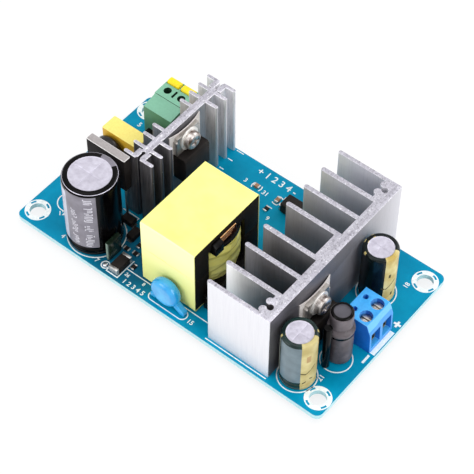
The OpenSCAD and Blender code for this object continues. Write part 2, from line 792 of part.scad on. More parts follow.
module can(d, h, disc_r) {
    r = d / 2 - sleeve_t;
    rim_z = h - sleeve_t;
    disc_z = rim_z - disc_recess;
    top = [[disc_r, rim_z], [disc_r - disc_recess, disc_z], [0, disc_z]];
    difference() {
        rotate_extrude() polygon(concat([[0, seat_gap]], can_side(r, rim_z, seat_gap), top));
        for (a = [0, 90])
            rotate(a) translate([-disc_r * vent_share, -vent_w / 2, disc_z - vent_depth])
                cube([2 * disc_r * vent_share, vent_w, vent_depth + cut]);
    }
}

module can_sleeve(d, h, disc_r) {
    r = d / 2 - sleeve_t;
    outer = concat(
        [[d / 2 - can_foot_r, seat_gap], [d / 2, seat_gap + can_foot_r]],
        arc(d / 2, can_groove_z, can_groove_r, -90, -270, 6),
        arc(d / 2 - can_round_r - sleeve_t, h - can_round_r - sleeve_t, can_round_r + sleeve_t, 0, 90, 6),
        [[disc_r, h]]
    );
    inner = concat(can_side(r, h - sleeve_t, seat_gap), [[disc_r, h - sleeve_t]]);
    rotate_extrude() polygon(concat(outer, [for (i = [len(inner) - 1:-1:0]) inner[i]]));
}

module bulk_capacitor_can() {
    color([0.85, 0.85, 0.86]) above_board(bulk_x, bulk_y) can(bulk_d, bulk_h, bulk_disc_r);
}

module bulk_capacitor_sleeve() {
    color([0.08, 0.07, 0.08]) above_board(bulk_x, bulk_y) can_sleeve(bulk_d, bulk_h, bulk_disc_r);
}

module front_capacitor_can() {
    color([0.85, 0.85, 0.86]) above_board(output_cap_x, front_cap_y)
        can(output_cap_d, output_cap_h, output_cap_disc_r);
}

module front_capacitor_sleeve() {
    color([0.1, 0.22, 0.18]) above_board(output_cap_x, front_cap_y)
        can_sleeve(output_cap_d, output_cap_h, output_cap_disc_r);
}

module back_capacitor_can() {
    color([0.85, 0.85, 0.86]) above_board(output_cap_x, back_cap_y)
        can(output_cap_d, output_cap_h, output_cap_disc_r);
}

module back_capacitor_sleeve() {
    color([0.1, 0.22, 0.18]) above_board(output_cap_x, back_cap_y)
        can_sleeve(output_cap_d, output_cap_h, output_cap_disc_r);
}

module capacitor_leads() {
    color([0.8, 0.8, 0.82]) leads(concat(bulk_leads, output_cap_leads), seat_gap);
}

// Half of the ferrite core, its plate at the bottom and its legs pointing up
module core_half() {
    half_h = core_h / 2;
    plate_t = (core_h - window_h) / 2;
    translate([-core_c / 2, -core_a / 2, 0]) cube([core_c, core_a, plate_t]);
    cylinder(d = core_post_d, h = half_h);
    difference() {
        translate([-core_c / 2, -core_a / 2, 0]) cube([core_c, core_a, half_h]);
        translate([0, 0, plate_t]) cylinder(d = window_d, h = half_h);
        translate([-core_c, -window_mouth / 2, plate_t]) cube([2 * core_c, window_mouth, half_h]);
    }
}

module transformer_lower_core() {
    color([0.2, 0.2, 0.21]) above_board(transformer_x, transformer_y, core_z) core_half();
}

module transformer_upper_core() {
    color([0.2, 0.2, 0.21]) above_board(transformer_x, transformer_y, core_z + core_h)
        mirror([0, 0, 1]) core_half();
}

// The moulded former: a tube with two flanges, two pin rails and a lug under the top flange
module transformer_bobbin() {
    color([0.09, 0.09, 0.1]) above_board(transformer_x, transformer_y) difference() {
        union() {
            translate([0, 0, bobbin_foot]) cylinder(r = flange_r, h = bobbin_t);
            translate([0, 0, bobbin_top - bobbin_t]) cylinder(r = flange_r, h = bobbin_t);
            translate([0, 0, bobbin_foot])
                cylinder(d = bobbin_bore + 2 * bobbin_t, h = bobbin_top - bobbin_foot);
            for (s = [-1, 1]) {
                translate([s * rail_x - rail_w / 2, -rail_l / 2, 0])
                    cube([rail_w, rail_l, bobbin_foot + bobbin_t]);
                translate([s > 0 ? 0 : -rail_x, -tongue_w / 2, bobbin_foot])
                    cube([rail_x, tongue_w, bobbin_t]);
            }
            bobbin_lug();
        }
        translate([0, 0, -cut]) cylinder(d = bobbin_bore, h = core_h + 3 * cut);
        for (p = transformer_pin_places)
            translate([p.x - transformer_x, p.y - transformer_y, -cut])
                cylinder(r = p.z, h = cut + rail_h, $fn = 24);
    }
}

// Chamfered lug that stands on the top flange, outside the core on the output side
module bobbin_lug() {
    root = core_c / 2 - cut;
    face = core_c / 2 + lug_gap;
    tip = face + lug_t;
    translate([0, lug_y1, 0]) rotate([90, 0, 0]) linear_extrude(lug_y1 - lug_y0) polygon([
        [root, bobbin_top - bobbin_t], [root, bobbin_top], [face, bobbin_top], [face, bobbin_top + lug_rise],
        [tip - lug_chamfer, bobbin_top + lug_rise], [tip, bobbin_top + lug_rise - lug_chamfer],
        [tip, bobbin_top - bobbin_t]
    ]);
}

module transformer_winding() {
    z0 = bobbin_foot + bobbin_t;
    h = bobbin_top - bobbin_t - z0;
    r0 = bobbin_bore / 2 + bobbin_t;
    r1 = winding_d / 2;
    slope = 0.4;
    color([0.8, 0.78, 0.35]) above_board(transformer_x, transformer_y, z0) rotate_extrude() polygon([
        [r0, 0], [r1 - slope, 0], [r1, 2 * slope], [r1, h - 2 * slope], [r1 - slope, h], [r0, h]
    ]);
}

// Band of yellow tape over the front, top, back and underside of the core
module transformer_tape() {
    color([0.98, 0.95, 0.5]) above_board(transformer_x, transformer_y, core_z) difference() {
        translate([-core_c / 2, -core_a / 2 - tape_t, -tape_t])
            cube([core_c, core_a + 2 * tape_t, core_h + 2 * tape_t]);
        translate([-core_c, -core_a / 2, 0]) cube([2 * core_c, core_a, core_h]);
    }
}

// Enamelled wires: some run from the lug to the top flange, some from the winding to the output rail's pins
module transformer_wires() {
    lug_wire_x = core_c / 2 + wire_r + lug_gap;
    lug_side = lug_y1 + 0.05;
    rail_face = rail_x + rail_w / 2 + wire_r + 0.05;
    rail_top = bobbin_foot + bobbin_t + wire_r + 0.02;
    color([0.85, 0.45, 0.2]) above_board(transformer_x, transformer_y) {
        for (i = [1:4]) {
            y = lug_side + wires_l + i * wire_step * wire_r;
            z = bobbin_top + i * wire_step * wire_r;
            wire([lug_wire_x, lug_side, z], [lug_wire_x, y, z], wire_r);
            translate([lug_wire_x, y, z]) sphere(r = wire_r, $fn = 16);
            wire([lug_wire_x, y, z], [lug_wire_x, y, bobbin_top + 0.02], wire_r);
        }
        for (i = [2, 3]) {
            y = (i - 2.5) * transformer_pin_pitch;
            wire([winding_d / 2 + wire_r + 0.05, y, rail_top], [rail_face, y, rail_top], wire_r);
            translate([rail_face, y, rail_top]) sphere(r = wire_r, $fn = 16);
            wire([rail_face, y, rail_top], [rail_face, y, wire_r + 0.1], wire_r);
        }
    }
}

module transformer_pins() {
    color([0.8, 0.8, 0.82]) leads(transformer_pin_places, rail_h);
}

module bridge_rectifier() {
    color([0.15, 0.14, 0.14]) above_board(bridge_x, bridge_y, bridge_lift)
        rounded_block(bridge_l, bridge_t, bridge_h, moulding_r);
}

module bridge_leads() {
    color([0.8, 0.8, 0.82]) leads(bridge_lead_places, bridge_lift);
}

module box_capacitor() {
    color([0.95, 0.8, 0.15]) above_board(box_cap_x, box_cap_y, seat_gap)
        rounded_block(box_cap_l, box_cap_t, box_cap_h - seat_gap, moulding_r);
}

// Disc standing on edge, with rounded rims
module upright_disc(d, t, lift) {
    r = d / 2;
    round_r = t / 2 - 0.3;
    lower = arc(r - round_r, -0.3, round_r, -90, 0);
    upper = arc(r - round_r, 0.3, round_r, 0, 90);
    translate([0, 0, r + lift]) rotate([90, 0, 0]) rotate_extrude()
        polygon(concat([[0, -t / 2]], lower, upper, [[0, t / 2]]));
}

module thermistor() {
    color([0.1, 0.1, 0.11]) above_board(thermistor_x, thermistor_y) difference() {
        upright_disc(thermistor_d, thermistor_t, thermistor_lift);
        lead_sockets(thermistor_leads, thermistor_x, thermistor_y, thermistor_lead_top);
    }
}

// Sockets that let the leads into a disc
module lead_sockets(places, x, y, top) {
    for (p = places) translate([p.x - x, p.y - y, 0]) cylinder(r = p.z, h = top, $fn = 24);
}

module fuse() {
    color([0.12, 0.11, 0.11]) above_board(fuse_x, fuse_y, seat_gap)
        rounded_block(fuse_l, fuse_t, fuse_h - seat_gap, moulding_r);
}

module disc_capacitor() {
    color([0.2, 0.6, 0.95]) above_board(disc_cap_x, disc_cap_y) difference() {
        union() {
            upright_disc(disc_cap_d, disc_cap_t, disc_lift);
            translate([0, disc_foot_t / 2, 0]) rotate([90, 0, 0]) linear_extrude(disc_foot_t) disc_feet();
        }
        lead_sockets(disc_leads, disc_cap_x, disc_cap_y, disc_lead_top);
    }
}

// Lacquer that runs down the two leads of the disc capacitor, seen from the front
module disc_feet() {
    foot_w = 1.8;
    shoulder = disc_cap_d / 2 - 1.6;
    for (s = [-1, 1]) {
        x = disc_lead_shift + s * disc_cap_pitch / 2;
        inner = x - s * foot_w / 2;
        outer = x + s * foot_w / 2;
        polygon([
            [inner, seat_gap], [outer, seat_gap], [outer, seat_gap + 1.3],
            [s * shoulder, disc_lift + 4.2], [s * shoulder, disc_lift + 1.2], [inner, seat_gap + 0.3]
        ]);
    }
}

module film_capacitor() {
    color([0.25, 0.4, 0.3]) above_board(film_x, film_y, seat_gap)
        rounded_block(film_t, film_l, film_h - seat_gap, moulding_r);
}

module small_part_leads() {
    color([0.8, 0.8, 0.82]) {
        leads(concat(box_cap_leads, fuse_leads, film_leads), seat_gap);
        leads(thermistor_leads, thermistor_lead_top);
        leads(disc_leads, disc_lead_top);
    }
}

// Side outline of the input terminal, as [depth from the front, height]
module input_outline() {
    step = input_step_y - input_front;
    polygon([
        [0, 0], [0, input_h - input_roof_drop], [step - 0.4, input_h - 0.8], [step, input_h - 0.4],
        [step, input_h - 0.15], [input_depth - pocket_depth - 0.6, input_h],
        [input_depth, input_h], [input_depth, 0]
    ]);
}

module input_terminal_housing() {
    color([0.5, 0.75, 0.63]) difference() {
        above_board(input_x - input_l / 2, input_front) rotate([90, 0, 90])
            linear_extrude(input_l) input_outline();
        for (s = [-1, 1]) {
            pole_x = input_x + s * input_pitch / 2;
            above_board(pole_x, input_step_y + test_hole_y, input_h - test_hole_depth)
                cylinder(d = input_test_d, h = test_hole_depth + cut);
            above_board(pole_x, input_back - entry_depth, input_entry_z) rotate([-90, 0, 0])
                cylinder(d = input_entry_d, h = entry_depth + cut);
            button_pocket(pole_x);
            spring_pocket(pole_x);
            for (y = input_pin_places)
                above_board(pole_x, input_front + y, -cut) cylinder(r = input_pin_r, h = cut + spring_room);
        }
        roof_slot_y = input_step_y + test_hole_y - roof_slot.y / 2;
        above_board(input_x - roof_slot.x / 2, roof_slot_y, input_h - roof_slot.z)
            cube([roof_slot.x, roof_slot.y, roof_slot.z + cut]);
    }
}

// Pocket at the top back edge that a push button slides in
module button_pocket(x) {
    w = button_w + 2 * button_clearance;
    above_board(x - w / 2, input_back - pocket_depth - button_wall, pocket_z)
        cube([w, pocket_depth, input_h]);
}

// Hollow for one spring clamp, between the wire entry and the pins
module spring_pocket(x) {
    room = 0.3;
    above_board(x - spring_w / 2 - room - 0.1, input_front + spring_inset - room, spring_room)
        cube([spring_w + 2 * room + 0.2, spring_l + 2 * room, spring_h + 1.4]);
}

// One push button: a flat shank with a rounded thumb piece
module push_button(x) {
    y0 = input_back - button_wall - button_clearance - button_t;
    r = 0.6;
    above_board(x - button_w / 2, y0, button_z) rotate([90, 0, 90]) linear_extrude(button_w) {
        square([button_t, button_h - r]);
        translate([r, 0]) square([button_t - 2 * r, button_h]);
        for (t = [r, button_t - r]) translate([t, button_h - r]) circle(r = r, $fn = 24);
    }
}

module left_push_button() {
    color([0.98, 0.85, 0.15]) push_button(input_x - input_pitch / 2);
}

module right_push_button() {
    color([0.98, 0.85, 0.15]) push_button(input_x + input_pitch / 2);
}

// One bent spring clamp per pole, in one piece with its two pins
module input_terminal_springs() {
    color([0.75, 0.68, 0.5]) for (s = [-1, 1]) {
        x = input_x + s * input_pitch / 2;
        above_board(x - spring_w / 2, input_front + spring_inset, spring_room) rotate([90, 0, 90])
            linear_extrude(spring_w) {
                square([spring_l, spring_t]);
                square([spring_t, spring_h]);
                translate([0, spring_h - spring_t]) square([spring_reach, spring_t]);
                translate([spring_reach - spring_t, spring_h / 2]) square([spring_t, spring_h / 2]);
            }
        leads([for (p = input_pins) if (abs(p.x - x) < 1) p], spring_room);
    }
}

// Side outline of the output terminal, as [depth from the inner face, height]
module output_outline() {
    slope = [1.6, 3.6];
    lean = 0.3;
    polygon([
        [0, 0], [0, output_h], [output_depth - slope.x, output_h],
        [output_depth - lean, output_h - slope.y], [output_depth, 0]
    ]);
}

module output_terminal_housing() {
    color([0.15, 0.5, 0.85]) difference() {
        above_board(output_inner, output_y + output_w / 2) rotate([90, 0, 0])
            linear_extrude(output_w) output_outline();
        for (s = [-1, 1]) {
            y = output_y + s * output_pitch / 2;
            above_board(well_x, y, cage_z + cage_h - cut) cylinder(d = well_d, h = output_h);
            above_board(well_x - cage_depth / 2 - cage_gap, y - entry_w / 2, cage_z - cage_gap)
                cube([output_depth, entry_w, cage_h + 3 * cage_gap]);
            above_board(output_inner + probe_inset, y, output_h - probe_depth)
                cylinder(d = probe_d, h = probe_depth + cut, $fn = 24);
            above_board(output_pin_x, y, -cut) cylinder(r = terminal_pin_r, h = cage_z + 2 * cut);
        }
    }
}

// Screws that pull the wire cages up
module output_terminal_screws() {
    color([0.8, 0.8, 0.78]) for (s = [-1, 1])
        above_board(well_x, output_y + s * output_pitch / 2) difference() {
        union() {
            translate([0, 0, cage_z + cage_h]) cylinder(d = well_d - 0.3, h = screw_top_z - cage_z - cage_h);
            translate([0, 0, cage_z + cage_h - 1.2]) cylinder(d = cage_screw_d, h = 1.3);
        }
        translate([-well_d, -screw_slot.x / 2, screw_top_z - screw_slot.y])
            cube([2 * well_d, screw_slot.x, screw_slot.y + cut]);
    }
}

// Square metal cages that hold the wires
module output_terminal_cages() {
    w = entry_w - 2 * cage_gap;
    color([0.75, 0.72, 0.6]) for (s = [-1, 1])
        above_board(well_x - cage_depth / 2, output_y + s * output_pitch / 2 - w / 2, cage_z) difference() {
            cube([cage_depth, w, cage_h]);
            translate([-cut, cage_t, cage_t])
                cube([cage_depth + 2 * cut, w - 2 * cage_t, cage_h - 2 * cage_t]);
            translate([cage_depth / 2, w / 2, cage_h - cut]) cylinder(d = cage_screw_d, h = 2 * cut);
        }
}

// Contact posts under the cages, down through the board
module output_terminal_pins() {
    color([0.8, 0.8, 0.82]) leads(output_pins, cage_z);
}

// Moulded body of a power package, round the lower part of its tab
module package_body(face_x, y, lift) {
    slope = 0.5;
    above_board(face_x + pad_t, y, lift) difference() {
        translate([0, package_w / 2, 0]) rotate([90, 0, 0]) linear_extrude(package_w) polygon([
            [0, 0], [package_t - slope, 0], [package_t, 2 * slope], [package_t, package_h - 2 * slope],
            [package_t - slope, package_h], [0, package_h]
        ]);
        translate([-cut, -tab_w / 2, tab_foot]) cube([tab_t + cut, tab_w, package_h]);
    }
}

// Metal tab and leads of a power package
module package_frame(face_x, y, lift, places) {
    above_board(face_x + pad_t, y, lift) difference() {
        translate([0, -tab_w / 2, tab_foot]) cube([tab_t, tab_w, package_h + tab_h - tab_foot]);
        translate([-cut, 0, package_h + tab_h - tab_hole_drop]) rotate([0, 90, 0])
            cylinder(d = tab_hole_d, h = tab_t + 2 * cut);
        for (s = [-1, 1])
            translate([-cut, s * tab_w / 2, package_h + tab_h - tab_notch_drop]) rotate([0, 90, 0])
                cylinder(r = tab_notch_r, h = tab_t + 2 * cut, $fn = 24);
    }
    leads(places, lift);
}

module switch_transistor() {
    color([0.13, 0.13, 0.14]) package_body(primary_face, transistor_y, transistor_lift);
}

module switch_transistor_frame() {
    color([0.75, 0.74, 0.72]) package_frame(primary_face, transistor_y, transistor_lift, transistor_leads);
}

module output_rectifier() {
    color([0.13, 0.13, 0.14]) package_body(output_face, rectifier_y, rectifier_lift);
}

module output_rectifier_frame() {
    color([0.75, 0.74, 0.72]) package_frame(output_face, rectifier_y, rectifier_lift, rectifier_leads);
}

// Soft pad between a tab and its heatsink
module insulating_pad(face_x, y, lift) {
    above_board(face_x, y, lift) difference() {
        translate([0, -tab_w / 2 - pad_margin, 0])
            cube([pad_t, tab_w + 2 * pad_margin, package_h + tab_h + pad_margin]);
        translate([-cut, 0, package_h + tab_h - tab_hole_drop]) rotate([0, 90, 0])
            cylinder(d = screw_d + 0.3, h = pad_t + 2 * cut);
    }
}

module insulating_pads() {
    color([0.75, 0.74, 0.7]) {
        insulating_pad(primary_face, transistor_y, transistor_lift);
        insulating_pad(output_face, rectifier_y, rectifier_lift);
    }
}

// Sleeve that keeps a screw off its tab
module insulating_bush(face_x, y, lift) {
    above_board(face_x + pad_t, y, tab_hole_z(lift)) rotate([0, 90, 0]) difference() {
        cylinder(d = tab_hole_d, h = tab_t);
        translate([0, 0, -cut]) cylinder(d = screw_d, h = tab_t + 2 * cut);
    }
}

module insulating_bushes() {
    color([0.9, 0.9, 0.86]) {
        insulating_bush(primary_face, transistor_y, transistor_lift);
        insulating_bush(output_face, rectifier_y, rectifier_lift);
    }
}

module package_washer(face_x, y, lift) {
    above_board(face_x + pad_t + tab_t, y, tab_hole_z(lift)) rotate([0, 90, 0]) difference() {
        cylinder(d = min(washer_d, 2 * (tab_h - tab_hole_drop)), h = washer_t);
        translate([0, 0, -cut]) cylinder(d = screw_d, h = washer_t + 2 * cut);
    }
}

module package_washers() {
    color([0.78, 0.77, 0.74]) {
        package_washer(primary_face, transistor_y, transistor_lift);
        package_washer(output_face, rectifier_y, rectifier_lift);
    }
}

// Pan head screw with a cross recess, from the washer through the plate
module package_screw(face_x, y, lift, plate_t) {
    shank = pad_t + tab_t + washer_t + plate_t + screw_past;
    r = screw_head_d / 2;
    dome = 0.9;
    above_board(face_x + pad_t + tab_t + washer_t, y, tab_hole_z(lift)) rotate([0, 90, 0]) {
        translate([0, 0, -shank]) cylinder(d = screw_d, h = shank);
        difference() {
            rotate_extrude() polygon(concat(
                [[0, 0], [r, 0]], arc(r - dome, screw_head_h - dome, dome, 10, 80), [[0, screw_head_h]]
            ));
            for (a = [0, 90]) rotate(a)
                translate([-recess.x / 2, -recess.y / 2, screw_head_h - recess.z])
                    cube([recess.x, recess.y, recess.z + cut]);
        }
    }
}

module package_screws() {
    color([0.82, 0.8, 0.76]) {
        package_screw(primary_face, transistor_y, transistor_lift, primary_plate_t);
        package_screw(output_face, rectifier_y, rectifier_lift, output_plate_t);
    }
}

module choke_core() {
    color([0.2, 0.2, 0.21]) above_board(choke_x, choke_y, choke_lift)
        cylinder(d = choke_core_d, h = choke_h - choke_lift - choke_rim);
}

module choke_winding() {
    color([0.8, 0.42, 0.2]) above_board(choke_x, choke_y, 2 * choke_lift) difference() {
        cylinder(d = choke_d - 2 * choke_sleeve_t, h = choke_bulge_h - choke_lift - 1);
        translate([0, 0, -cut]) cylinder(d = choke_core_d, h = choke_h);
    }
}

// Heat-shrink sleeve: wide over the winding, then a groove, a collar and a rim round the core's end
module choke_sleeve() {
    r = choke_d / 2;
    t = choke_sleeve_t;
    winding_r = r - t;
    winding_top = choke_bulge_h - 0.6;
    collar = choke_collar_r;
    core_r = choke_core_d / 2;
    color([0.13, 0.09, 0.08]) above_board(choke_x, choke_y) rotate_extrude() polygon([
        [winding_r, choke_lift], [r, choke_lift + 0.3], [r, choke_bulge_h - 1.6],
        [r + choke_bulge, choke_bulge_h - 0.9],
        [r, choke_bulge_h - 0.1], [collar - 0.4, choke_bulge_h + 0.4], [collar, choke_bulge_h + 1.1],
        [collar, choke_h - 2 * choke_rim], [collar - choke_rim, choke_h], [core_r - t, choke_h],
        [core_r - t, choke_h - choke_rim], [core_r, choke_h - choke_rim], [core_r, winding_top],
        [winding_r, winding_top]
    ]);
}

// Sleeve on the wire that comes back from the top of the winding
module choke_return_sleeve() {
    color([0.16, 0.11, 0.1]) above_board(return_x, return_y, seat_gap) difference() {
        cylinder(d = return_lead_d, h = return_h - seat_gap);
        translate([0, 0, -cut]) cylinder(r = cap_lead_r, h = return_h, $fn = 24);
    }
}

module choke_leads() {
    color([0.8, 0.8, 0.82]) {
        leads([choke_lead_places[0]], choke_lift);
        leads([choke_lead_places[1]], return_h - cut);
    }
}

module optocoupler() {
    color([0.1, 0.1, 0.11]) above_board(opto_x, opto_y, opto_lift)
        rounded_block(opto_l, opto_w, opto_h, moulding_r);
}

// Legs bent out of the body's ends and down
module optocoupler_legs() {
    shoulder_z = opto_lift + opto_h / 2;
    color([0.8, 0.8, 0.82]) {
        leads(opto_legs, shoulder_z);
        for (p = opto_legs) {
            s = p.x > opto_x ? 1 : -1;
            x0 = opto_x + s * opto_l / 2;
            x1 = p.x + s * p.z;
            above_board(min(x0, x1), p.y - leg_w / 2, shoulder_z - leg_t) cube([abs(x1 - x0), leg_w, leg_t]);
        }
    }
}

// Body of a chip part between its metal ends
module chip_body(c, end_l) {
    above_board(c[0], c[1]) rotate(c[5])
        translate([-c[2] / 2 + end_l, -c[3] / 2, 0]) cube([c[2] - 2 * end_l, c[3], c[4]]);
}

module chip_ends(c, end_l) {
    above_board(c[0], c[1]) rotate(c[5]) for (s = [-1, 1])
        translate([s > 0 ? c[2] / 2 - end_l : -c[2] / 2, -c[3] / 2, 0]) cube([end_l, c[3], c[4]]);
}

module block_resistor() {
    color([0.12, 0.1, 0.1]) chip_body(block_place, block_end_l);
}

module chip_capacitors() {
    color([0.5, 0.36, 0.25]) for (c = chip_caps) chip_body(c, c[2] * chip_end_share);
}

module chip_resistors() {
    color([0.1, 0.1, 0.1]) for (c = chip_ress) chip_body(c, c[2] * chip_end_share);
}

module chip_metal_ends() {
    color([0.82, 0.8, 0.78]) {
        chip_ends(block_place, block_end_l);
        for (c = concat(chip_caps, chip_ress)) chip_ends(c, c[2] * chip_end_share);
    }
}

module surface_diodes() {
    color([0.14, 0.12, 0.12]) for (c = diodes)
        above_board(c[0], c[1], diode_tab_t) rotate(c[5]) translate([0, c[3] / 2, 0]) rotate([90, 0, 0])
            linear_extrude(c[3]) polygon([
                [-c[2] / 2 + diode_draft, 0], [c[2] / 2 - diode_draft, 0], [c[2] / 2, c[4] / 2],
                [c[2] / 2 - diode_draft, c[4] - diode_tab_t], [-c[2] / 2 + diode_draft, c[4] - diode_tab_t],
                [-c[2] / 2, c[4] / 2]
            ]);
}

module surface_diode_tabs() {
    color([0.82, 0.8, 0.78]) for (c = diodes) above_board(c[0], c[1]) rotate(c[5]) for (s = [-1, 1])
        translate([s > 0 ? c[2] / 2 - diode_tab_l : -c[2] / 2 - diode_draft, -diode_tab_w / 2, 0])
            cube([diode_tab_l + diode_draft, diode_tab_w, diode_tab_t]);
}

// Controller chip on the underside
module controller_chip() {
    color([0.1, 0.1, 0.11])
        translate([controller.x, controller.y, -controller_h / 2 - controller_gap])
            cube([controller_l, controller_w, controller_h], center = true);
}

module controller_chip_legs() {
    color([0.82, 0.8, 0.78]) for (s = [-1, 1]) for (i = [0:3])
        translate([controller.x + (i - 1.5) * chip_leg_pitch, controller.y + s * controller_w / 2, 0])
            rotate([90, 0, s * 90]) linear_extrude(chip_leg_w, center = true) polygon([
                [0, -0.7], [0.5, -0.7], [0.5, -chip_leg_t], [1, -chip_leg_t], [1, 0], [0.3, 0],
                [0.3, chip_leg_t - 0.7], [0, chip_leg_t - 0.7]
            ]);
}

circuit_board();
solder_joints();
primary_heatsink();
output_heatsink();
heatsink_pins();
bulk_capacitor_can();
bulk_capacitor_sleeve();
front_capacitor_can();
front_capacitor_sleeve();
back_capacitor_can();
back_capacitor_sleeve();
capacitor_leads();
transformer_lower_core();
transformer_upper_core();
transformer_bobbin();
transformer_winding();
transformer_tape();
transformer_wires();
transformer_pins();
bridge_rectifier();
bridge_leads();
box_capacitor();
thermistor();
fuse();
disc_capacitor();
film_capacitor();
small_part_leads();
input_terminal_housing();
left_push_button();
right_push_button();
input_terminal_springs();
output_terminal_housing();
output_terminal_screws();
output_terminal_cages();
output_terminal_pins();
switch_transistor();
switch_transistor_frame();
output_rectifier();
output_rectifier_frame();
insulating_pads();
insulating_bushes();
package_washers();
package_screws();
choke_core();
choke_winding();
choke_sleeve();
choke_return_sleeve();
choke_leads();
optocoupler();
optocoupler_legs();
block_resistor();
chip_capacitors();
chip_resistors();
chip_metal_ends();
surface_diodes();
surface_diode_tabs();
controller_chip();
controller_chip_legs();
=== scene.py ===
import math
import random

import bmesh
import bpy
from mathutils import Matrix, Vector, noise


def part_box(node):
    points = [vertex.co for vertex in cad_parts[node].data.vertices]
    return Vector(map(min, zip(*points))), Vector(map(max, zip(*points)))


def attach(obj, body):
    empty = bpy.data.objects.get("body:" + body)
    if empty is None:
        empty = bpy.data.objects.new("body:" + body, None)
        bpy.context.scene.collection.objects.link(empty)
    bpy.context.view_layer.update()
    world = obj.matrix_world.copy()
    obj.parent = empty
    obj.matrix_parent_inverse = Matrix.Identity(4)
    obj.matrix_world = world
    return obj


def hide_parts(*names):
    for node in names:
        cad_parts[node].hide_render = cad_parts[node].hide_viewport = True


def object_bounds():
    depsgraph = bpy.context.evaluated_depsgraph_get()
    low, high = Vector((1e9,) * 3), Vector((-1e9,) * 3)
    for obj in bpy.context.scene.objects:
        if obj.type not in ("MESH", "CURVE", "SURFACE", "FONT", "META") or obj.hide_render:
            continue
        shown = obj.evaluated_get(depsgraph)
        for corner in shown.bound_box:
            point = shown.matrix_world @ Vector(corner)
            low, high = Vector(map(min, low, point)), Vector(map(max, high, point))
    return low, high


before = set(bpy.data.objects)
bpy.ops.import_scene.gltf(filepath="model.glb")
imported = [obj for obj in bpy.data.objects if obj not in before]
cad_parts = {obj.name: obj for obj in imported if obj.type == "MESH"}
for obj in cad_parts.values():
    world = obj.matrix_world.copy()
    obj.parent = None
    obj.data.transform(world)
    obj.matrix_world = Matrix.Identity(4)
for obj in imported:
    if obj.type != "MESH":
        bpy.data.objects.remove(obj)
cadLow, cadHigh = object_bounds()
link = bpy.context.scene.collection.objects.link
mm = 0.001
print("frame loaded")


# camera

cameraPlace = {
    "azimuth": 38.924, "elevation": 52.287, "roll": 0.209,  # degrees, looking down at the board
    "distance": 475.01, "asideX": 0.615, "asideY": -1.362,  # mm, from the middle of the board's top face
    "lens": 129.65, "shiftX": 0.02269, "shiftY": 0.0070,
}


def makeCamera(place):
    a, e, r = (math.radians(place[k]) for k in ("azimuth", "elevation", "roll"))
    back = Vector((math.sin(a) * math.cos(e), -math.cos(a) * math.cos(e), math.sin(e)))
    right = Vector((0, 0, 1)).cross(back).normalized()
    up = back.cross(right)
    turnedRight = right * math.cos(r) + up * math.sin(r)
    turnedUp = up * math.cos(r) - right * math.sin(r)
    spot = back * place["distance"] - turnedRight * place["asideX"] - turnedUp * place["asideY"]
    spot = (spot + Vector((0, 0, boardTop / mm))) * mm
    data = bpy.data.cameras.new("photoCamera")
    data.lens = place["lens"]
    data.shift_x = place["shiftX"]
    data.shift_y = place["shiftY"]
    camera = bpy.data.objects.new("photoCamera", data)
    camera.matrix_world = Matrix((
        (turnedRight.x, turnedUp.x, back.x, spot.x), (turnedRight.y, turnedUp.y, back.y, spot.y),
        (turnedRight.z, turnedUp.z, back.z, spot.z), (0, 0, 0, 1),
    ))
    link(camera)
    bpy.context.scene.camera = camera


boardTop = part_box("circuit_board")[1].z
makeCamera(cameraPlace)
print("camera placed")


# colours are written as the 0 to 255 values they should show
def shown(color):
    return tuple((c / 255 / 12.92) if c <= 10.3 else ((c / 255 + 0.055) / 1.055) ** 2.4 for c in color) + (1.0,)


# a new shader node, its inputs linked to other nodes' outputs or set to values
def shaderNode(tree, kind, inputs, **settings):
    node = tree.nodes.new("ShaderNode" + kind)
    for key, value in settings.items():
        setattr(node, key, value)
    for key, value in inputs.items():
        if hasattr(value, "is_output"):
            tree.links.new(value, node.inputs[key])
        else:
            node.inputs[key].default_value = value
    return node


finishes = {}


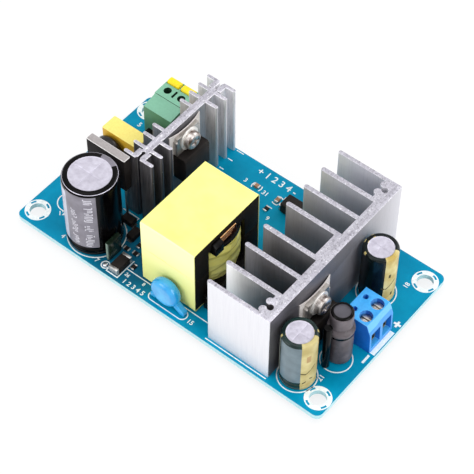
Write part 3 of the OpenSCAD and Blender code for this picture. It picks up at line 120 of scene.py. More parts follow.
# a new finish and the helpers that build its look from noise, lines and places
class Look:
    def __init__(self, name, color, roughness=0.5, metallic=0.0, specular=0.5, coat=0.0):
        finishes[name] = bpy.data.materials.new(name)
        finishes[name].use_nodes = True
        self.tree = finishes[name].node_tree
        self.shader = self.tree.nodes["Principled BSDF"]
        start = {"Base Color": shown(color), "Roughness": roughness, "Metallic": metallic,
                 "Specular IOR Level": specular, "Coat Weight": coat, "Coat Roughness": 0.12}
        for key, value in start.items():
            self.shader.inputs[key].default_value = value
        self.place = self.make("TexCoord").outputs["Object"]

    def make(self, kind, inputs=None, **settings):
        return shaderNode(self.tree, kind, inputs or {}, **settings)

    def drive(self, key, value):
        self.tree.links.new(value, self.shader.inputs[key])

    def stretched(self, sx, sy, sz, turn=0.0):
        inputs = {"Vector": self.place, "Scale": (sx, sy, sz), "Rotation": (0, 0, turn)}
        return self.make("Mapping", inputs).outputs["Vector"]

    def noise(self, scale, detail=3.0, rough=0.5, vector=None):
        inputs = {"Vector": vector or self.place, "Scale": scale, "Detail": detail, "Roughness": rough}
        return self.make("TexNoise", inputs).outputs["Fac"]

    def specks(self, scale, vector=None):
        return self.make("TexVoronoi", {"Vector": vector or self.place, "Scale": scale}).outputs["Distance"]

    def lines(self, scale, axis, distortion=0.0, vector=None):
        inputs = {"Vector": vector or self.place, "Scale": scale, "Distortion": distortion, "Detail": 2.0}
        return self.make("TexWave", inputs, bands_direction=axis).outputs["Fac"]

    def math(self, operation, a, b=0.0):
        return self.make("Math", {0: a, 1: b}, operation=operation).outputs[0]

    def times(self, a, b):
        return self.math("MULTIPLY", a, b)

    def over(self, a, b):
        return self.math("GREATER_THAN", a, b)

    def ramp(self, value, low, high):
        return self.make("MapRange", {"Value": value, "From Min": low, "From Max": high}).outputs["Result"]

    def mix(self, share, a, b):
        a, b = (shown(tone) if isinstance(tone, tuple) else tone for tone in (a, b))
        return self.make("Mix", {0: share, 6: a, 7: b}, data_type="RGBA").outputs[2]

    def along(self, axis):
        return self.make("SeparateXYZ", {0: self.place}).outputs[axis]

    # how far a coordinate is from the middle of a span
    def awayFrom(self, axis, low, high):
        return self.math("ABSOLUTE", self.math("SUBTRACT", self.along(axis), (low + high) / 2))

    def facing(self, axis):
        normal = self.make("NewGeometry").outputs["Normal"]
        return self.math("ABSOLUTE", self.make("SeparateXYZ", {0: normal}).outputs[axis])

    # 1 for the walls that lie deeper inside a box than a margin, across the board
    def inside(self, low, high, margin):
        share = self.math("LESS_THAN", self.facing("Z"), 0.5)
        for axis, a, b in (("X", low.x, high.x), ("Y", low.y, high.y)):
            share = self.times(share, self.math("LESS_THAN", self.awayFrom(axis, a, b), (b - a) / 2 - margin))
        return share

    def color(self, value):
        self.drive("Base Color", value)

    def rough(self, value, low, high):
        scaled = self.make("MapRange", {"Value": value, "To Min": low, "To Max": high})
        self.drive("Roughness", scaled.outputs["Result"])

    def bump(self, height, depth, strength):
        bump = self.make("Bump", {"Height": height, "Distance": depth, "Strength": strength})
        self.drive("Normal", bump.outputs["Normal"])


# finishes

# painted shade on the board, among the small parts beside the bulk capacitor: middle and reach in mm
paintedShadeField = {"X": (-18.5, 15.0), "Y": (-21.0, 12.5)}


def boardLacquer():
    look = Look("boardLacquer", (0, 138, 176), roughness=0.34, specular=0.08)
    cloud = look.noise(70, detail=4, rough=0.6)
    tone = look.mix(look.ramp(cloud, 0.35, 0.65), (0, 129, 166), (4, 150, 190))
    spread = 0.0
    for axis, (middle, reach) in paintedShadeField.items():
        away = look.math("DIVIDE", look.math("SUBTRACT", look.along(axis), middle * mm), reach * mm)
        spread = look.math("ADD", look.times(away, away), spread)
    # painted shade: the lacquer darkens towards the middle of the field
    tone = look.mix(look.times(look.ramp(spread, 1.0, 0.3), 0.7), tone, (18, 64, 90))
    weave = look.noise(2600, detail=1)
    flat = look.over(look.facing("Z"), 0.7)
    glassEdge = look.mix(look.noise(900), (196, 224, 228), (150, 196, 204))
    look.color(look.mix(flat, glassEdge, tone))
    look.rough(cloud, 0.22, 0.4)
    look.bump(weave, 0.00001, 0.5)


heatsinkLooks = {
    # sides: two tones between the fins, darker than the bare metal as painted shade; pale: painted light towards the
    # back; plate: its outer face
    # paleGap: mm from the front in which the gap gets a painted reflection; endShine and streaks: 0 to 1
    "outputSink": {
        "node": "output_heatsink", "sides": ((102, 98, 100), (126, 122, 124)),
        "pale": (214, 213, 220), "plate": (112, 110, 117), "paleGap": 8.8, "endShine": 1.0, "streaks": 0.15},
    "primarySink": {
        "node": "primary_heatsink", "sides": ((88, 85, 89), (132, 129, 132)),
        "pale": (236, 235, 240), "plate": (100, 98, 104), "paleGap": 0.0, "endShine": 0.0, "streaks": 0.6},
}


def sawnAluminium(name, values):
    low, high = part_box(values["node"])
    pale = values["pale"]
    look = Look(name, (190, 188, 200), roughness=0.4, metallic=1.0)
    top = look.over(look.facing("Z"), 0.7)
    sawLines = look.noise(900, detail=3, rough=0.7, vector=look.stretched(1, 0.12, 1, 0.5))
    nicks = look.ramp(look.specks(420, look.stretched(1, 0.6, 1)), 0.13, 0.03)
    grains = look.ramp(look.noise(1500, detail=2, rough=0.8), 0.52, 0.66)
    glints = look.ramp(look.noise(1300, detail=2, rough=0.8, vector=look.stretched(1, 1, 1, 1.1)), 0.58, 0.68)
    sawn = look.mix(look.ramp(sawLines, 0.3, 0.7), (176, 173, 184), (210, 208, 218))
    sawn = look.mix(look.times(grains, 0.7), sawn, (126, 123, 131))
    # painted highlight: glints on the sawn top
    sawn = look.mix(look.times(glints, 0.6), sawn, (246, 245, 250))
    sawn = look.mix(look.times(nicks, 0.9), sawn, (255, 255, 255))
    # painted highlight along the rounded rim of the sawn top
    sawn = look.mix(look.math("LESS_THAN", look.facing("Z"), 0.97), sawn, (250, 249, 253))
    drawn = look.noise(190, detail=5, rough=0.75, vector=look.stretched(9, 9, 0.4))
    side = look.mix(look.ramp(drawn, 0.34, 0.66), *values["sides"])
    # painted light and shade: the sides stay darker between the front fins and get lighter towards the back
    back = look.ramp(look.along("Y"), low.y, high.y)
    side = look.mix(look.math("POWER", back, 1.6), side, pale)
    # painted reflection of the floor: the first gap between the fins is painted white at its open end
    gap = look.math("LESS_THAN", look.along("Y"), low.y + values["paleGap"] * mm)
    mouth = look.ramp(look.along("X"), high.x - 6 * mm, low.x)
    side = look.mix(look.times(gap, mouth), side, (255, 255, 255))
    # painted light: the plate's outer face also gets lighter towards the back
    wall = look.mix(look.math("POWER", back, 3), values["plate"], pale)
    side = look.mix(look.over(look.facing("X"), 0.7), side, wall)
    threads = look.ramp(look.noise(420, detail=4, rough=0.8, vector=look.stretched(9, 9, 0.3)), 0.5, 0.7)
    side = look.mix(look.times(threads, values["streaks"]), side, (52, 50, 54))
    spots = look.ramp(look.specks(260), 0.06, 0.02)
    side = look.mix(look.times(spots, 0.4), side, (224, 222, 222))
    # the two end faces keep the bright bare metal, without the painted shade of the sides
    atEnd = look.over(look.awayFrom("Y", low.y, high.y), (high.y - low.y) / 2 - 0.2 * mm)
    outer = look.times(atEnd, values["endShine"])
    side = look.mix(outer, side, look.mix(drawn, (236, 236, 240), (216, 216, 223)))
    look.color(look.mix(look.over(look.facing("Z"), 0.35), side, sawn))
    bare = look.math("SUBTRACT", 0.72, look.times(back, 0.3))
    bare = look.math("SUBTRACT", bare, look.times(outer, 0.3))
    look.drive("Metallic", look.math("MAXIMUM", bare, top))
    look.rough(look.mix(top, drawn, sawLines), 0.34, 0.52)
    look.bump(look.mix(top, drawn, sawLines), 0.00006, 0.7)


def brushedTin(name, dark, light, roughness=0.32, metallic=1.0):
    look = Look(name, light, roughness=roughness, metallic=metallic)
    streaks = look.noise(800, detail=4, vector=look.stretched(1, 1, 0.15))
    look.color(look.mix(look.ramp(streaks, 0.3, 0.7), dark, light))
    look.rough(streaks, roughness * 0.7, roughness * 1.4)
    look.bump(streaks, 0.00002, 0.5)


# two tones over a span of one noise, which also sets the bump and roughness
def clouded(name, dark, light, span, grain, bump, rough=None, **start):
    look = Look(name, light, **start)
    cloud = look.noise(*grain)
    look.color(look.mix(look.ramp(cloud, *span), dark, light))
    look.bump(cloud, *bump)
    if rough:
        look.rough(cloud, *rough)


def shrinkFilm(name, dark, light, roughness=0.22, specular=0.3):
    look = Look(name, dark, roughness=roughness, specular=specular)
    cloud = look.noise(260, detail=4)
    look.color(look.mix(look.ramp(cloud, 0.35, 0.7), dark, light))
    look.rough(cloud, roughness * 0.8, roughness * 1.5)
    look.bump(look.noise(420, detail=2), 0.00004, 0.4)


def moulded(name, dark, light, roughness=0.42, grain=1500, depth=0.00003, specular=0.3,
            top=None, paintedEdgeLight=None, shadedWells=None, mouth=None):
    look = Look(name, light, roughness=roughness, specular=specular)
    cloud = look.noise(180, detail=5, rough=0.6)
    fine = look.noise(grain, detail=3, rough=0.6)
    tone = look.mix(look.ramp(cloud, 0.3, 0.7), dark, light)
    if top:
        # painted light: the upper face is painted paler than the sides
        face = look.mix(look.times(fine, 0.5), top, light)
        tone = look.mix(look.over(look.facing("Z"), 0.4), tone, face)
    if mouth:
        # painted light: the side that takes the wires is painted paler than the others
        tone = look.mix(look.over(look.facing("X"), 0.6), tone, mouth)
    if paintedEdgeLight:
        # painted highlight: a pale line where the upper face turns down
        up = look.facing("Z")
        turn = look.times(look.over(up, 0.3), look.math("LESS_THAN", up, 0.97))
        tone = look.mix(turn, tone, paintedEdgeLight)
    # painted shade on the walls that lie deep inside the wells
    if shadedWells:
        node, margin, shade = shadedWells
        tone = look.mix(look.inside(*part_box(node), margin), tone, shade)
    look.color(tone)
    look.rough(fine, roughness * 0.8, roughness * 1.3)
    look.bump(fine, depth, 0.6)


def tapeFilm(name, dark, light, roughness=0.3, face=None, crease=None):
    look = Look(name, light, roughness=roughness)
    cloud = look.noise(90, detail=5, rough=0.6)
    tone = look.mix(look.ramp(cloud, 0.3, 0.72), dark, light)
    if face:
        # painted light and shade: the front face goes from a lit cream at the top to a shaded green at the bottom
        low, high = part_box(face)
        height = look.ramp(look.along("Z"), low.z, high.z)
        down = look.mix(look.ramp(height, 0.3, 0.8), (234, 236, 146), (250, 250, 182))
        tone = look.mix(look.over(look.facing("Y"), 0.6), tone, down)
    if crease:
        # painted shade along the creases between the turns of tape
        folds = look.lines(95, "Z", 12.0, look.stretched(0.7, 0.7, 1.0))
        tone = look.mix(look.ramp(folds, 0.3, -0.2), tone, crease)
    flecks = look.ramp(look.specks(120), 0.03, 0.02)
    look.color(look.mix(look.times(flecks, 0.7), tone, (160, 152, 84)))
    look.rough(cloud, roughness * 0.8, roughness * 1.4)
    look.bump(look.noise(150, detail=3, vector=look.stretched(1, 1, 2.2)), 0.00012, 0.35)


def enamelledCopper():
    look = Look("enamelledCopper", (198, 106, 48), roughness=0.25, metallic=0.6, coat=0.2)
    cloud = look.noise(1500)
    # painted highlight and shade: the crown of each wire is painted bright and its flanks dark
    litCrown = look.ramp(look.facing("Z"), 0.65, 0.97)
    bright = look.mix(look.ramp(cloud, 0.3, 0.7), (226, 150, 84), (255, 214, 158))
    look.color(look.mix(litCrown, (64, 24, 8), bright))
    look.bump(cloud, 0.00002, 0.4)


def dippedLacquer(name, dark, light, roughness=0.16, coat=0.6, ends=None):
    look = Look(name, light, roughness=roughness, specular=0.3, coat=coat)
    cloud = look.noise(240)
    tone = look.mix(look.ramp(cloud, 0.3, 0.7), dark, light)
    if ends:
        # one upright edge of the front face is pale
        node, shade = ends
        low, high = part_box(node)
        across = look.ramp(look.along("X"), low.x, high.x)
        edge = look.times(look.ramp(look.facing("Y"), 0.4, 0.8), look.ramp(across, 0.8, 0.45))
        tone = look.mix(edge, tone, shade)
    look.color(tone)
    look.bump(look.noise(360, detail=3, rough=0.6), 0.00012, 0.4)


def padSilicone():
    look = Look("padSilicone", (214, 208, 206), roughness=0.6, specular=0.3)
    weave = look.times(look.lines(700, "Y"), look.lines(700, "Z"))
    cloud = look.noise(300, detail=4)
    look.color(look.mix(look.ramp(cloud, 0.3, 0.7), (206, 199, 197), (230, 224, 221)))
    look.bump(weave, 0.00003, 0.5)


# dark tone, light tone, roughness and shine of each film
films = {
    "blackFilm": ((2, 1, 2), (8, 7, 8), 0.14, 0.1),
    # greyFilm is the bulk capacitor's printed stripe and also its painted reflection band
    "greyFilm": ((112, 108, 118), (134, 131, 141), 0.3),
    "greenFilm": ((8, 30, 28), (24, 54, 50), 0.2),
    "darkGreenFilm": ((4, 10, 12), (14, 26, 26), 0.18, 0.22),
    # painted reflection of the table on the front capacitor's sleeve
    "panelFilm": ((92, 108, 116), (114, 130, 138), 0.3),
    "goldFilm": ((172, 156, 96), (202, 190, 136), 0.32),
    "paleGoldFilm": ((182, 158, 84), (216, 206, 148), 0.32),
    # the next two films are painted glare on the capacitor sleeves
    "rimFilm": ((168, 174, 160), (196, 200, 190), 0.3),
    "silverFilm": ((176, 176, 190), (204, 204, 218), 0.3),
    "brownFilm": ((64, 58, 62), (106, 99, 104), 0.34),
}

# dark tone, light tone, roughness, size and depth of the grain, shine
plastics = {
    "markInk": ((62, 56, 26), (88, 76, 40), 0.6),
    "softInk": ((168, 140, 96), (190, 160, 116), 0.6),
    "whiteInk": ((184, 182, 192), (208, 206, 216), 0.55),
    "rodEnd": ((72, 70, 78), (94, 92, 100), 0.5, 2200),
    "blackPlastic": ((5, 4, 4), (17, 15, 15), 0.26, 1500, 0.00003, 0.12),
    "epoxy": ((18, 15, 14), (42, 37, 35), 0.55, 2600, 0.00005, 0.14),
    "buttonPlastic": ((255, 218, 22), (255, 236, 50), 0.38),
    "whitePlastic": ((214, 214, 206), (234, 234, 228), 0.4),
    "brownCeramic": ((140, 102, 76), (178, 138, 110), 0.5, 2600),
}

# dark tone, light tone, roughness, share of bare metal
tinned = {
    "tin": ((176, 174, 172), (222, 220, 218)),
    "frameTin": ((176, 172, 168), (214, 210, 205), 0.42),
    "screwSteel": ((150, 144, 136), (232, 226, 218), 0.32),
    "packageSteel": ((84, 62, 52), (240, 234, 230), 0.3, 0.75),
    "washerSteel": ((226, 223, 219), (250, 248, 245), 0.36, 0.45),
    "spring": ((150, 140, 110), (196, 186, 150)),
    "cage": ((160, 150, 110), (206, 196, 160)),
}

boardLacquer()
enamelledCopper()
padSilicone()
clouded("printWhite", (248, 251, 251), (214, 228, 230), (0.3, 0.75), (1500,), (0.00001, 0.4))
clouded("ferrite", (12, 10, 8), (36, 32, 28), (0.35, 0.7), (2400, 3, 0.7), (0.00004, 0.7),
        roughness=0.62, specular=0.12)
clouded("brightSolder", (176, 178, 184), (232, 232, 234), (0, 1), (900, 4), (0.00004, 0.6), (0.15, 0.45),
        metallic=1.0)
clouded("canAluminium", (186, 182, 196), (212, 209, 222), (0.3, 0.7), (700, 4, 0.6), (0.00003, 0.5), (0.38, 0.55),
        metallic=0.9)
for makeLooks, table in ((shrinkFilm, films), (moulded, plastics), (brushedTin, tinned)):
    for name, values in table.items():
        makeLooks(name, *values)
for name, values in heatsinkLooks.items():
    sawnAluminium(name, values)
moulded("bridgeEpoxy", (22, 19, 19), (40, 36, 36), 0.5, 2000, 0.00006, 0.14,
        top=(182, 176, 176), paintedEdgeLight=(232, 230, 230))
moulded("yellowPlastic", (208, 158, 40), (226, 180, 56), 0.34, top=(255, 246, 142))
moulded("greenPlastic", (84, 136, 100), (104, 158, 124), 0.4, top=(136, 194, 168),
        shadedWells=("input_terminal_housing", 0.6 * mm, (34, 62, 46)))
moulded("bluePlastic", (8, 84, 176), (26, 108, 204), 0.36,
        top=(76, 186, 255), paintedEdgeLight=(106, 182, 242), mouth=(70, 150, 226))
tapeFilm("tape", (246, 242, 130), (252, 250, 152), face="transformer_tape")
tapeFilm("oliveTape", (224, 216, 104), (252, 246, 156), 0.34, crease=(150, 140, 40))
dippedLacquer("darkLacquer", (10, 8, 9), (34, 29, 29), 0.3, 0.1)
dippedLacquer("blueLacquer", (26, 144, 212), (62, 176, 232))
dippedLacquer("greenLacquer", (6, 16, 10), (30, 46, 34), 0.2, 0.15, ends=("film_capacitor", (132, 150, 136)))
print("finishes: board, metals, plastics and tapes")


# mesh helpers

# a new piece, smooth but for edges sharper than an angle in degrees
def addPiece(name, mesh, angle, finish, standsFor=(), slotName=None, body="supply"):
    for face in mesh.polygons:
        face.use_smooth = True
    mesh.set_sharp_from_angle(angle=math.radians(angle))
    for key in (finish if isinstance(finish, list) else [finish]):
        mesh.materials.append(finishes[key])
    piece = bpy.data.objects.new(name, mesh)
    link(piece)
    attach(piece, body)
    if standsFor:
        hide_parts(*standsFor)
    return piece


# the same from a mesh that is being built
def addBuilt(name, build, *rest, **more):
    mesh = bpy.data.meshes.new(name)
    bmesh.ops.recalc_face_normals(build, faces=build.faces)
    build.to_mesh(mesh)
    build.free()
    addPiece(name, mesh, *rest, **more)


# the finished mesh of a working object, which goes away
def settled(work):
    link(work)
    mesh = bpy.data.meshes.new_from_object(work.evaluated_get(bpy.context.evaluated_depsgraph_get()))
    bpy.data.objects.remove(work)
    return mesh


# a copy of a CAD node's mesh, with flat faces joined, run through modifiers
def reworked(node, name, modifiers):
    build = bmesh.new()
    build.from_mesh(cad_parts[node].data)
    bmesh.ops.remove_doubles(build, verts=build.verts, dist=0.002 * mm)
    bmesh.ops.dissolve_limit(build, angle_limit=math.radians(0.6), verts=build.verts, edges=build.edges)
    mesh = bpy.data.meshes.new(node + "Shape")
    build.to_mesh(mesh)
    build.free()
    work = bpy.data.objects.new(name + "Work", mesh)
    for kind, values in modifiers.items():
        modifier = work.modifiers.new(kind, kind)
        for key, value in values.items():
            setattr(modifier, key, value)
    done = settled(work)
    done.name = name
    done.materials.clear()
    return done


# a copy of a CAD node with its edges rounded
def rounded(node, finish, width, segments=2, body="supply"):
    bevel = {"width": width * mm, "segments": segments, "limit_method": "ANGLE",
             "angle_limit": math.radians(32), "use_clamp_overlap": True}
    mesh = reworked(node, node + "Rounded", {"BEVEL": bevel})
    return addPiece(node + "Rounded", mesh, 30, finish, [node], body=body)


# each row: node, finish, width in mm, and where needed segments and body
def roundEach(*rows):
    for row in rows:
        rounded(*row)


# a copy of a CAD node melted into a dipped, blobby skin
def dipped(node, finish, voxel, rounds):
    mesh = reworked(node, node + "Dipped", {
        "REMESH": {"mode": "VOXEL", "voxel_size": voxel * mm},
        "SMOOTH": {"factor": 0.5, "iterations": rounds},
    })
    addPiece(node + "Dipped", mesh, 80, finish, [node])


def wave(x, y, z):
    return noise.noise(Vector((x, y, z)))


# four-cornered faces between two rows of corners
def strip(build, a, b, closed=True):
    for j in range(len(a) if closed else len(a) - 1):
        k = (j + 1) % len(a)
        build.faces.new((a[j], b[j], b[k], a[k]))


# turns a closed outline of (radius, height) in mm round a vertical axis
def turned(build, profile, middle, segments, pick=None, ripple=None):
    rings = []
    for i in range(segments):
        angle = 2 * math.pi * i / segments
        ring = []
        for radius, height in profile:
            r = radius + (ripple(angle, radius, height) if ripple and radius > 0.01 else 0)
            x, y = middle[0] + r * mm * math.cos(angle), middle[1] + r * mm * math.sin(angle)
            ring.append(build.verts.new((x, y, middle[2] + height * mm)))
        rings.append(ring)
    for i in range(segments):
        a, b = rings[i], rings[(i + 1) % segments]
        for j in range(len(profile)):
            k = (j + 1) % len(profile)
            face = build.faces.new((a[j], b[j], b[k], a[k]))
            if pick:
                turn = math.degrees(2 * math.pi * (i + 0.5) / segments)
                face.material_index = pick(turn if turn < 180 else turn - 360, (profile[j][1] + profile[k][1]) / 2)


# a round node's middle and foot in metres, radius and height in mm
def roundSpan(node):
    low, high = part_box(node)
    middle = ((low.x + high.x) / 2, (low.y + high.y) / 2, low.z)
    return middle, (high.x - low.x) / 2 / mm, (high.z - low.z) / mm


def arcPoints(cx, cy, r, start, end, count):
    angles = [math.radians(start + (end - start) * i / count) for i in range(count + 1)]
    return [(cx + r * math.cos(a), cy + r * math.sin(a)) for a in angles]


# one solid prism from an outline of (x, y) points in mm, between two heights in metres
def prism(build, outline, low, high):
    bottom = [build.verts.new((x * mm, y * mm, low)) for x, y in outline]
    top = [build.verts.new((x * mm, y * mm, high)) for x, y in outline]
    build.faces.new(top)
    build.faces.new(list(reversed(bottom)))
    strip(build, bottom, top)


# printed marks on the board, in mm from its middle

boardPrint = {
    "rise": 0.03, "step": 0.004,
    "holes": (49.7, 24.25),
    # inner and outer radius, the notches' radii, angles and width, and the degrees between bands
    "holeRing": (2.36, 3.76, 2.82, 3.42, (65, 155, 245, 335), 30, 0.1),
    "rings": [(-31.0, -20.1, 8.3), (41.1, -22.0, 5.45), (41.2, 13.1, 5.55), (46.0, -11.4, 4.4), (-44.6, -16.6, 3.4),
              (-22.0, -26.7, 1.2)],
    "ringLine": 0.32,
    "lines": [
        (-16.3, -24.0, 12.5, -24.0), (15.0, -28.2, 35.3, -28.2), (-31.2, -8.6, -25.5, -8.6),
        (-25.5, -8.6, -25.6, -11.9), (-20.6, -20.9, -20.6, -28.0), (-20.6, -28.0, -16.6, -28.0),
        (-16.6, -28.0, -16.6, -20.9), (-19.9, 28.6, -17.6, 28.6), (-20.0, 24.6, -18.6, 24.6),
        (-19.8, 20.5, -18.6, 20.5), (-0.4, 17.9, 1.2, 17.9), (-0.4, 17.9, -0.4, 16.9), (2.7, 24.0, 11.6, 24.0),
        (11.6, 24.0, 11.6, 23.0),
    ],
    "lineWidth": 0.3,
    "capsules": [(-4.7, 5.2, -26.3, 1.55)],  # from x, to x, y, radius
    "brackets": [(-7.0, 21.5, 1.55, 0), (0.8, 21.2, 1.55, 90)],  # x, y, radius, turn in degrees
    "block": (51.8, -4.3, 53.2, 5.0),
    "signs": [(51.35, 7.8, 52.85, 7.8), (52.1, 7.05, 52.1, 8.55), (52.1, -7.8, 52.1, -5.4)],
    "signWidth": 0.66,
    "font": (1.4, 0.03),
    "numbers": [  # text, x, y, height, turn in degrees
        ("12", -43.6, -20.9, 1.5, 40), ("4", -37.8, -26.7, 1.4, 0), ("7", -24.9, -27.0, 1.4, 0),
        ("26", -15.0, -25.6, 1.1, -8), ("1 2 3 4 5", -11.0, -27.7, 1.5, 0), ("8", -9.4, -25.2, 1.1, 0),
        ("15", 8.5, -26.8, 1.4, 0), ("3", -11.0, 21.4, 1.4, 0), ("31", -3.6, 21.0, 1.5, 0), ("9", 2.5, 14.3, 1.4, 0),
        ("18", 46.5, 20.0, 1.4, 90), ("21", 46.5, -18.8, 1.5, 90), ("5", -48.4, 18.2, 1.6, 0),
        ("10", 12.6, 19.4, 1.3, 0), ("+ 1 2 3 4 -", -3.6, 26.6, 2.3, 0),
    ],
}


# font: the letter's size for each mm of a number's height, and how far the ink spreads in mm
def numberMesh(text, x, y, size, turn, low, height, font):
    curve = bpy.data.curves.new("number" + text, "FONT")
    curve.body = text
    curve.size = size * font[0] * mm
    curve.extrude = height / 2
    curve.offset = font[1] * mm
    curve.align_x = "CENTER"
    curve.align_y = "CENTER"
    mesh = settled(bpy.data.objects.new("numberWork", curve))
    place = Matrix.Translation((x * mm, y * mm, low + height / 2))
    mesh.transform(place @ Matrix.Rotation(math.radians(turn), 4, "Z"))
    return mesh


def makeBoardPrint(values):
    build = bmesh.new()
    low, high = boardTop, boardTop + values["rise"] * mm
    inner, outer, notchIn, notchOut, notches, notchWidth, gap = values["holeRing"]
    half = values["ringLine"] / 2

    # where two lines meet, a raised one lies a little higher
    def line(x0, y0, x1, y1, width=values["lineWidth"], raised=0):
        along = Vector((x1 - x0, y1 - y0)).normalized() * width / 2
        side = Vector((-along.y, along.x))
        a, b = Vector((x0, y0)) - along, Vector((x1, y1)) + along
        prism(build, [a - side, b - side, b + side, a + side], low, high + raised * values["step"] * mm)

    def arc(x, y, r0, r1, start, end, count=48):
        prism(build, arcPoints(x, y, r1, start, end, count) + arcPoints(x, y, r0, end, start, count), low, high)

    for sx in (-1, 1):
        for sy in (-1, 1):
            x, y = sx * values["holes"][0], sy * values["holes"][1]
            for angle, nextAngle in zip(notches, notches[1:] + (notches[0] + 360,)):
                start, end = angle - notchWidth / 2, angle + notchWidth / 2
                arc(x, y, inner, outer, end, nextAngle - notchWidth / 2, 20)
                # a notch leaves a thin white rim inside and outside it
                arc(x, y, inner, notchIn, start + gap, end - gap, 8)
                arc(x, y, notchOut, outer, start + gap, end - gap, 8)
    for x, y, r in values["rings"]:
        for start in (0, 180):
            arc(x, y, r - half, r + half, start + gap, start + 180 - gap)
    for i, ends in enumerate(values["lines"]):
        line(*ends, raised=i % 2)
    for x0, x1, y, r in values["capsules"]:
        line(x0, y - r, x1, y - r, raised=1)
        line(x0, y + r, x1, y + r, raised=1)
        arc(x0, y, r - half, r + half, 90, 270, 20)
        arc(x1, y, r - half, r + half, -90, 90, 20)
    for x, y, r, turn in values["brackets"]:
        for side in (0, 180):
            arc(x, y, r - half, r + half, turn + side - 40, turn + side + 40, 14)
    x0, y0, x1, y1 = values["block"]
    prism(build, [(x0, y0), (x1, y0), (x1, y1), (x0, y1)], low, high)
    for i, ends in enumerate(values["signs"]):
        line(*ends, values["signWidth"], i % 2)
    for number in values["numbers"]:
        build.from_mesh(numberMesh(*number, low, high - low, values["font"]))
    addBuilt("boardPrint", build, 20, "printWhite", slotName="board_resist")


# flat drops of solder on the board's upper face: x, y, reach along x and y, height, in mm
topSolder = {
    "drops": [(-22.0, -26.7, 0.8, 0.8, 0.45), (-24.4, -12.0, 1.1, 0.6, 0.6)],
    "outline": [(1.0, 0.0), (0.92, 0.45), (0.68, 0.8), (0.34, 0.97), (0.01, 1.0), (0.01, 0.0)],
}


def makeTopSolder(values):
    build = bmesh.new()
    for x, y, rx, ry, tall in values["drops"]:
        turned(build, values["outline"], (0, 0, 0), 24)
        drop = [v for v in build.verts if not v.tag]
        for v in drop:
            v.co = Vector((x * mm + v.co.x * rx, y * mm + v.co.y * ry, boardTop + v.co.z * tall))
            v.tag = True
    addBuilt("topSolder", build, 50, "brightSolder", slotName="solder")


makeBoardPrint(boardPrint)
makeTopSolder(topSolder)
print("board and its print")


# capacitors: each sleeve is turned from its node's size

sleeves = {
    # disc: radius of the bare lid; round: the shoulder's radius; finishes: body, painted reflection band, stripe and
    # painted glare
    # the rest is in degrees round the can; flecks are patches of the stripe's colour on the rim
    "bulk": {
        "disc": 6.1, "round": 1.2, "finishes": ["blackFilm", "greyFilm", "greyFilm", "silverFilm"],
        "panel": (-106, -38), "stripe": (60, 104), "flecks": [], "glare": (-170, -106)},
    "front": {
        "disc": 3.7, "round": 0.8, "finishes": ["greenFilm", "panelFilm", "goldFilm", "rimFilm"],
        "panel": (-125, -47), "stripe": (-47, 24), "flecks": [(-134, -126), (40, 50)], "glare": (-175, -133)},
    "back": {
        "disc": 3.7, "round": 0.8, "finishes": ["darkGreenFilm", "darkGreenFilm", "paleGoldFilm", "rimFilm"],
        "panel": (170, 171), "stripe": (-38, 24), "flecks": [(-176, -162), (-122, -112), (150, 160)],
        "glare": (170, 171)},
}

# mm: where the painted reflection band and glare start, how far they and the flecks end below the top, the film's
# waves and its pull at the top, the lid's groove as built and the share of it that shows
sleeveShared = {
    "foot": 3.2, "reflectionBandTop": 1.1, "glareTop": 1.6, "fleckTop": 0.06, "wave": 0.05, "pull": 0.03,
    "groove": 0.6, "grooveShare": 0.3,
}


def sleeveOutline(radius, height, disc, rounding):
    side = [(radius - 0.5, 0), (radius - 0.12, 0.12), (radius, 0.5), (radius, 1.6)]
    side += arcPoints(radius, 2.3, 0.5, -90, -270, 8)
    side += [(radius, 3.4), (radius, height * 0.5), (radius, height - rounding - 0.8)]
    side += arcPoints(radius - rounding, height - rounding, rounding, 0, 72, 10)
    side += [(radius - rounding - 0.35, height - 0.01), (disc + 0.35, height - 0.02), (disc + 0.12, height - 0.08)]
    inside = [(disc, height - 0.2), (disc, height - 0.3), (radius - 1.3, height - 0.35), (radius - 0.3, height - 1.6),
              (radius - 0.3, 3.2), (radius - 0.9, 2.3), (radius - 0.3, 1.5), (radius - 0.5, 0.1)]
    return side + inside


def makeSleeve(key, values, shared):
    node = key + "_capacitor_sleeve"
    middle, radius, height = roundSpan(node)
    outline = sleeveOutline(radius, height, values["disc"], values["round"])
    foot, reflectionBandTop = shared["foot"], height - shared["reflectionBandTop"]

    # the face's place among the finishes
    def pick(angle, z):
        if values["stripe"][0] < angle < values["stripe"][1]:
            return 2
        if any(a < angle < b for a, b in values["flecks"]) and reflectionBandTop < z < height - shared["fleckTop"]:
            return 2
        # painted reflections of the table: the glare and the reflection band
        if values["glare"][0] < angle < values["glare"][1] and foot < z < height - shared["glareTop"]:
            return 3
        if values["panel"][0] < angle < values["panel"][1] and foot < z < reflectionBandTop:
            return 1
        return 0

    def ripple(angle, r, z):
        bump = wave(math.cos(angle) * 2.2, math.sin(angle) * 2.2, z * 0.25 + len(key))
        return -abs(shared["wave"] * bump) - (shared["pull"] if z > height - 2.5 else 0)

    build = bmesh.new()
    turned(build, outline, middle, 180, pick, ripple)
    addBuilt(node + "Film", build, 50, values["finishes"], [node])
    canLid = rounded(key + "_capacitor_can", "canAluminium", 0.06).data.vertices
    lidTop = max(v.co.z for v in canLid)
    for v in canLid:
        # the vent's grooves are shallow
        if v.co.z > lidTop - shared["groove"] * mm:
            v.co.z = lidTop - (lidTop - v.co.z) * shared["grooveShare"]
    return middle, radius


# one closed shell through a row of four-cornered sections
def shellThrough(build, sections):
    rows = [[build.verts.new(Vector(corner) * mm) for corner in section] for section in sections]
    build.faces.new(rows[0])
    build.faces.new(list(reversed(rows[-1])))
    for a, b in zip(rows, rows[1:]):
        strip(build, a, b)


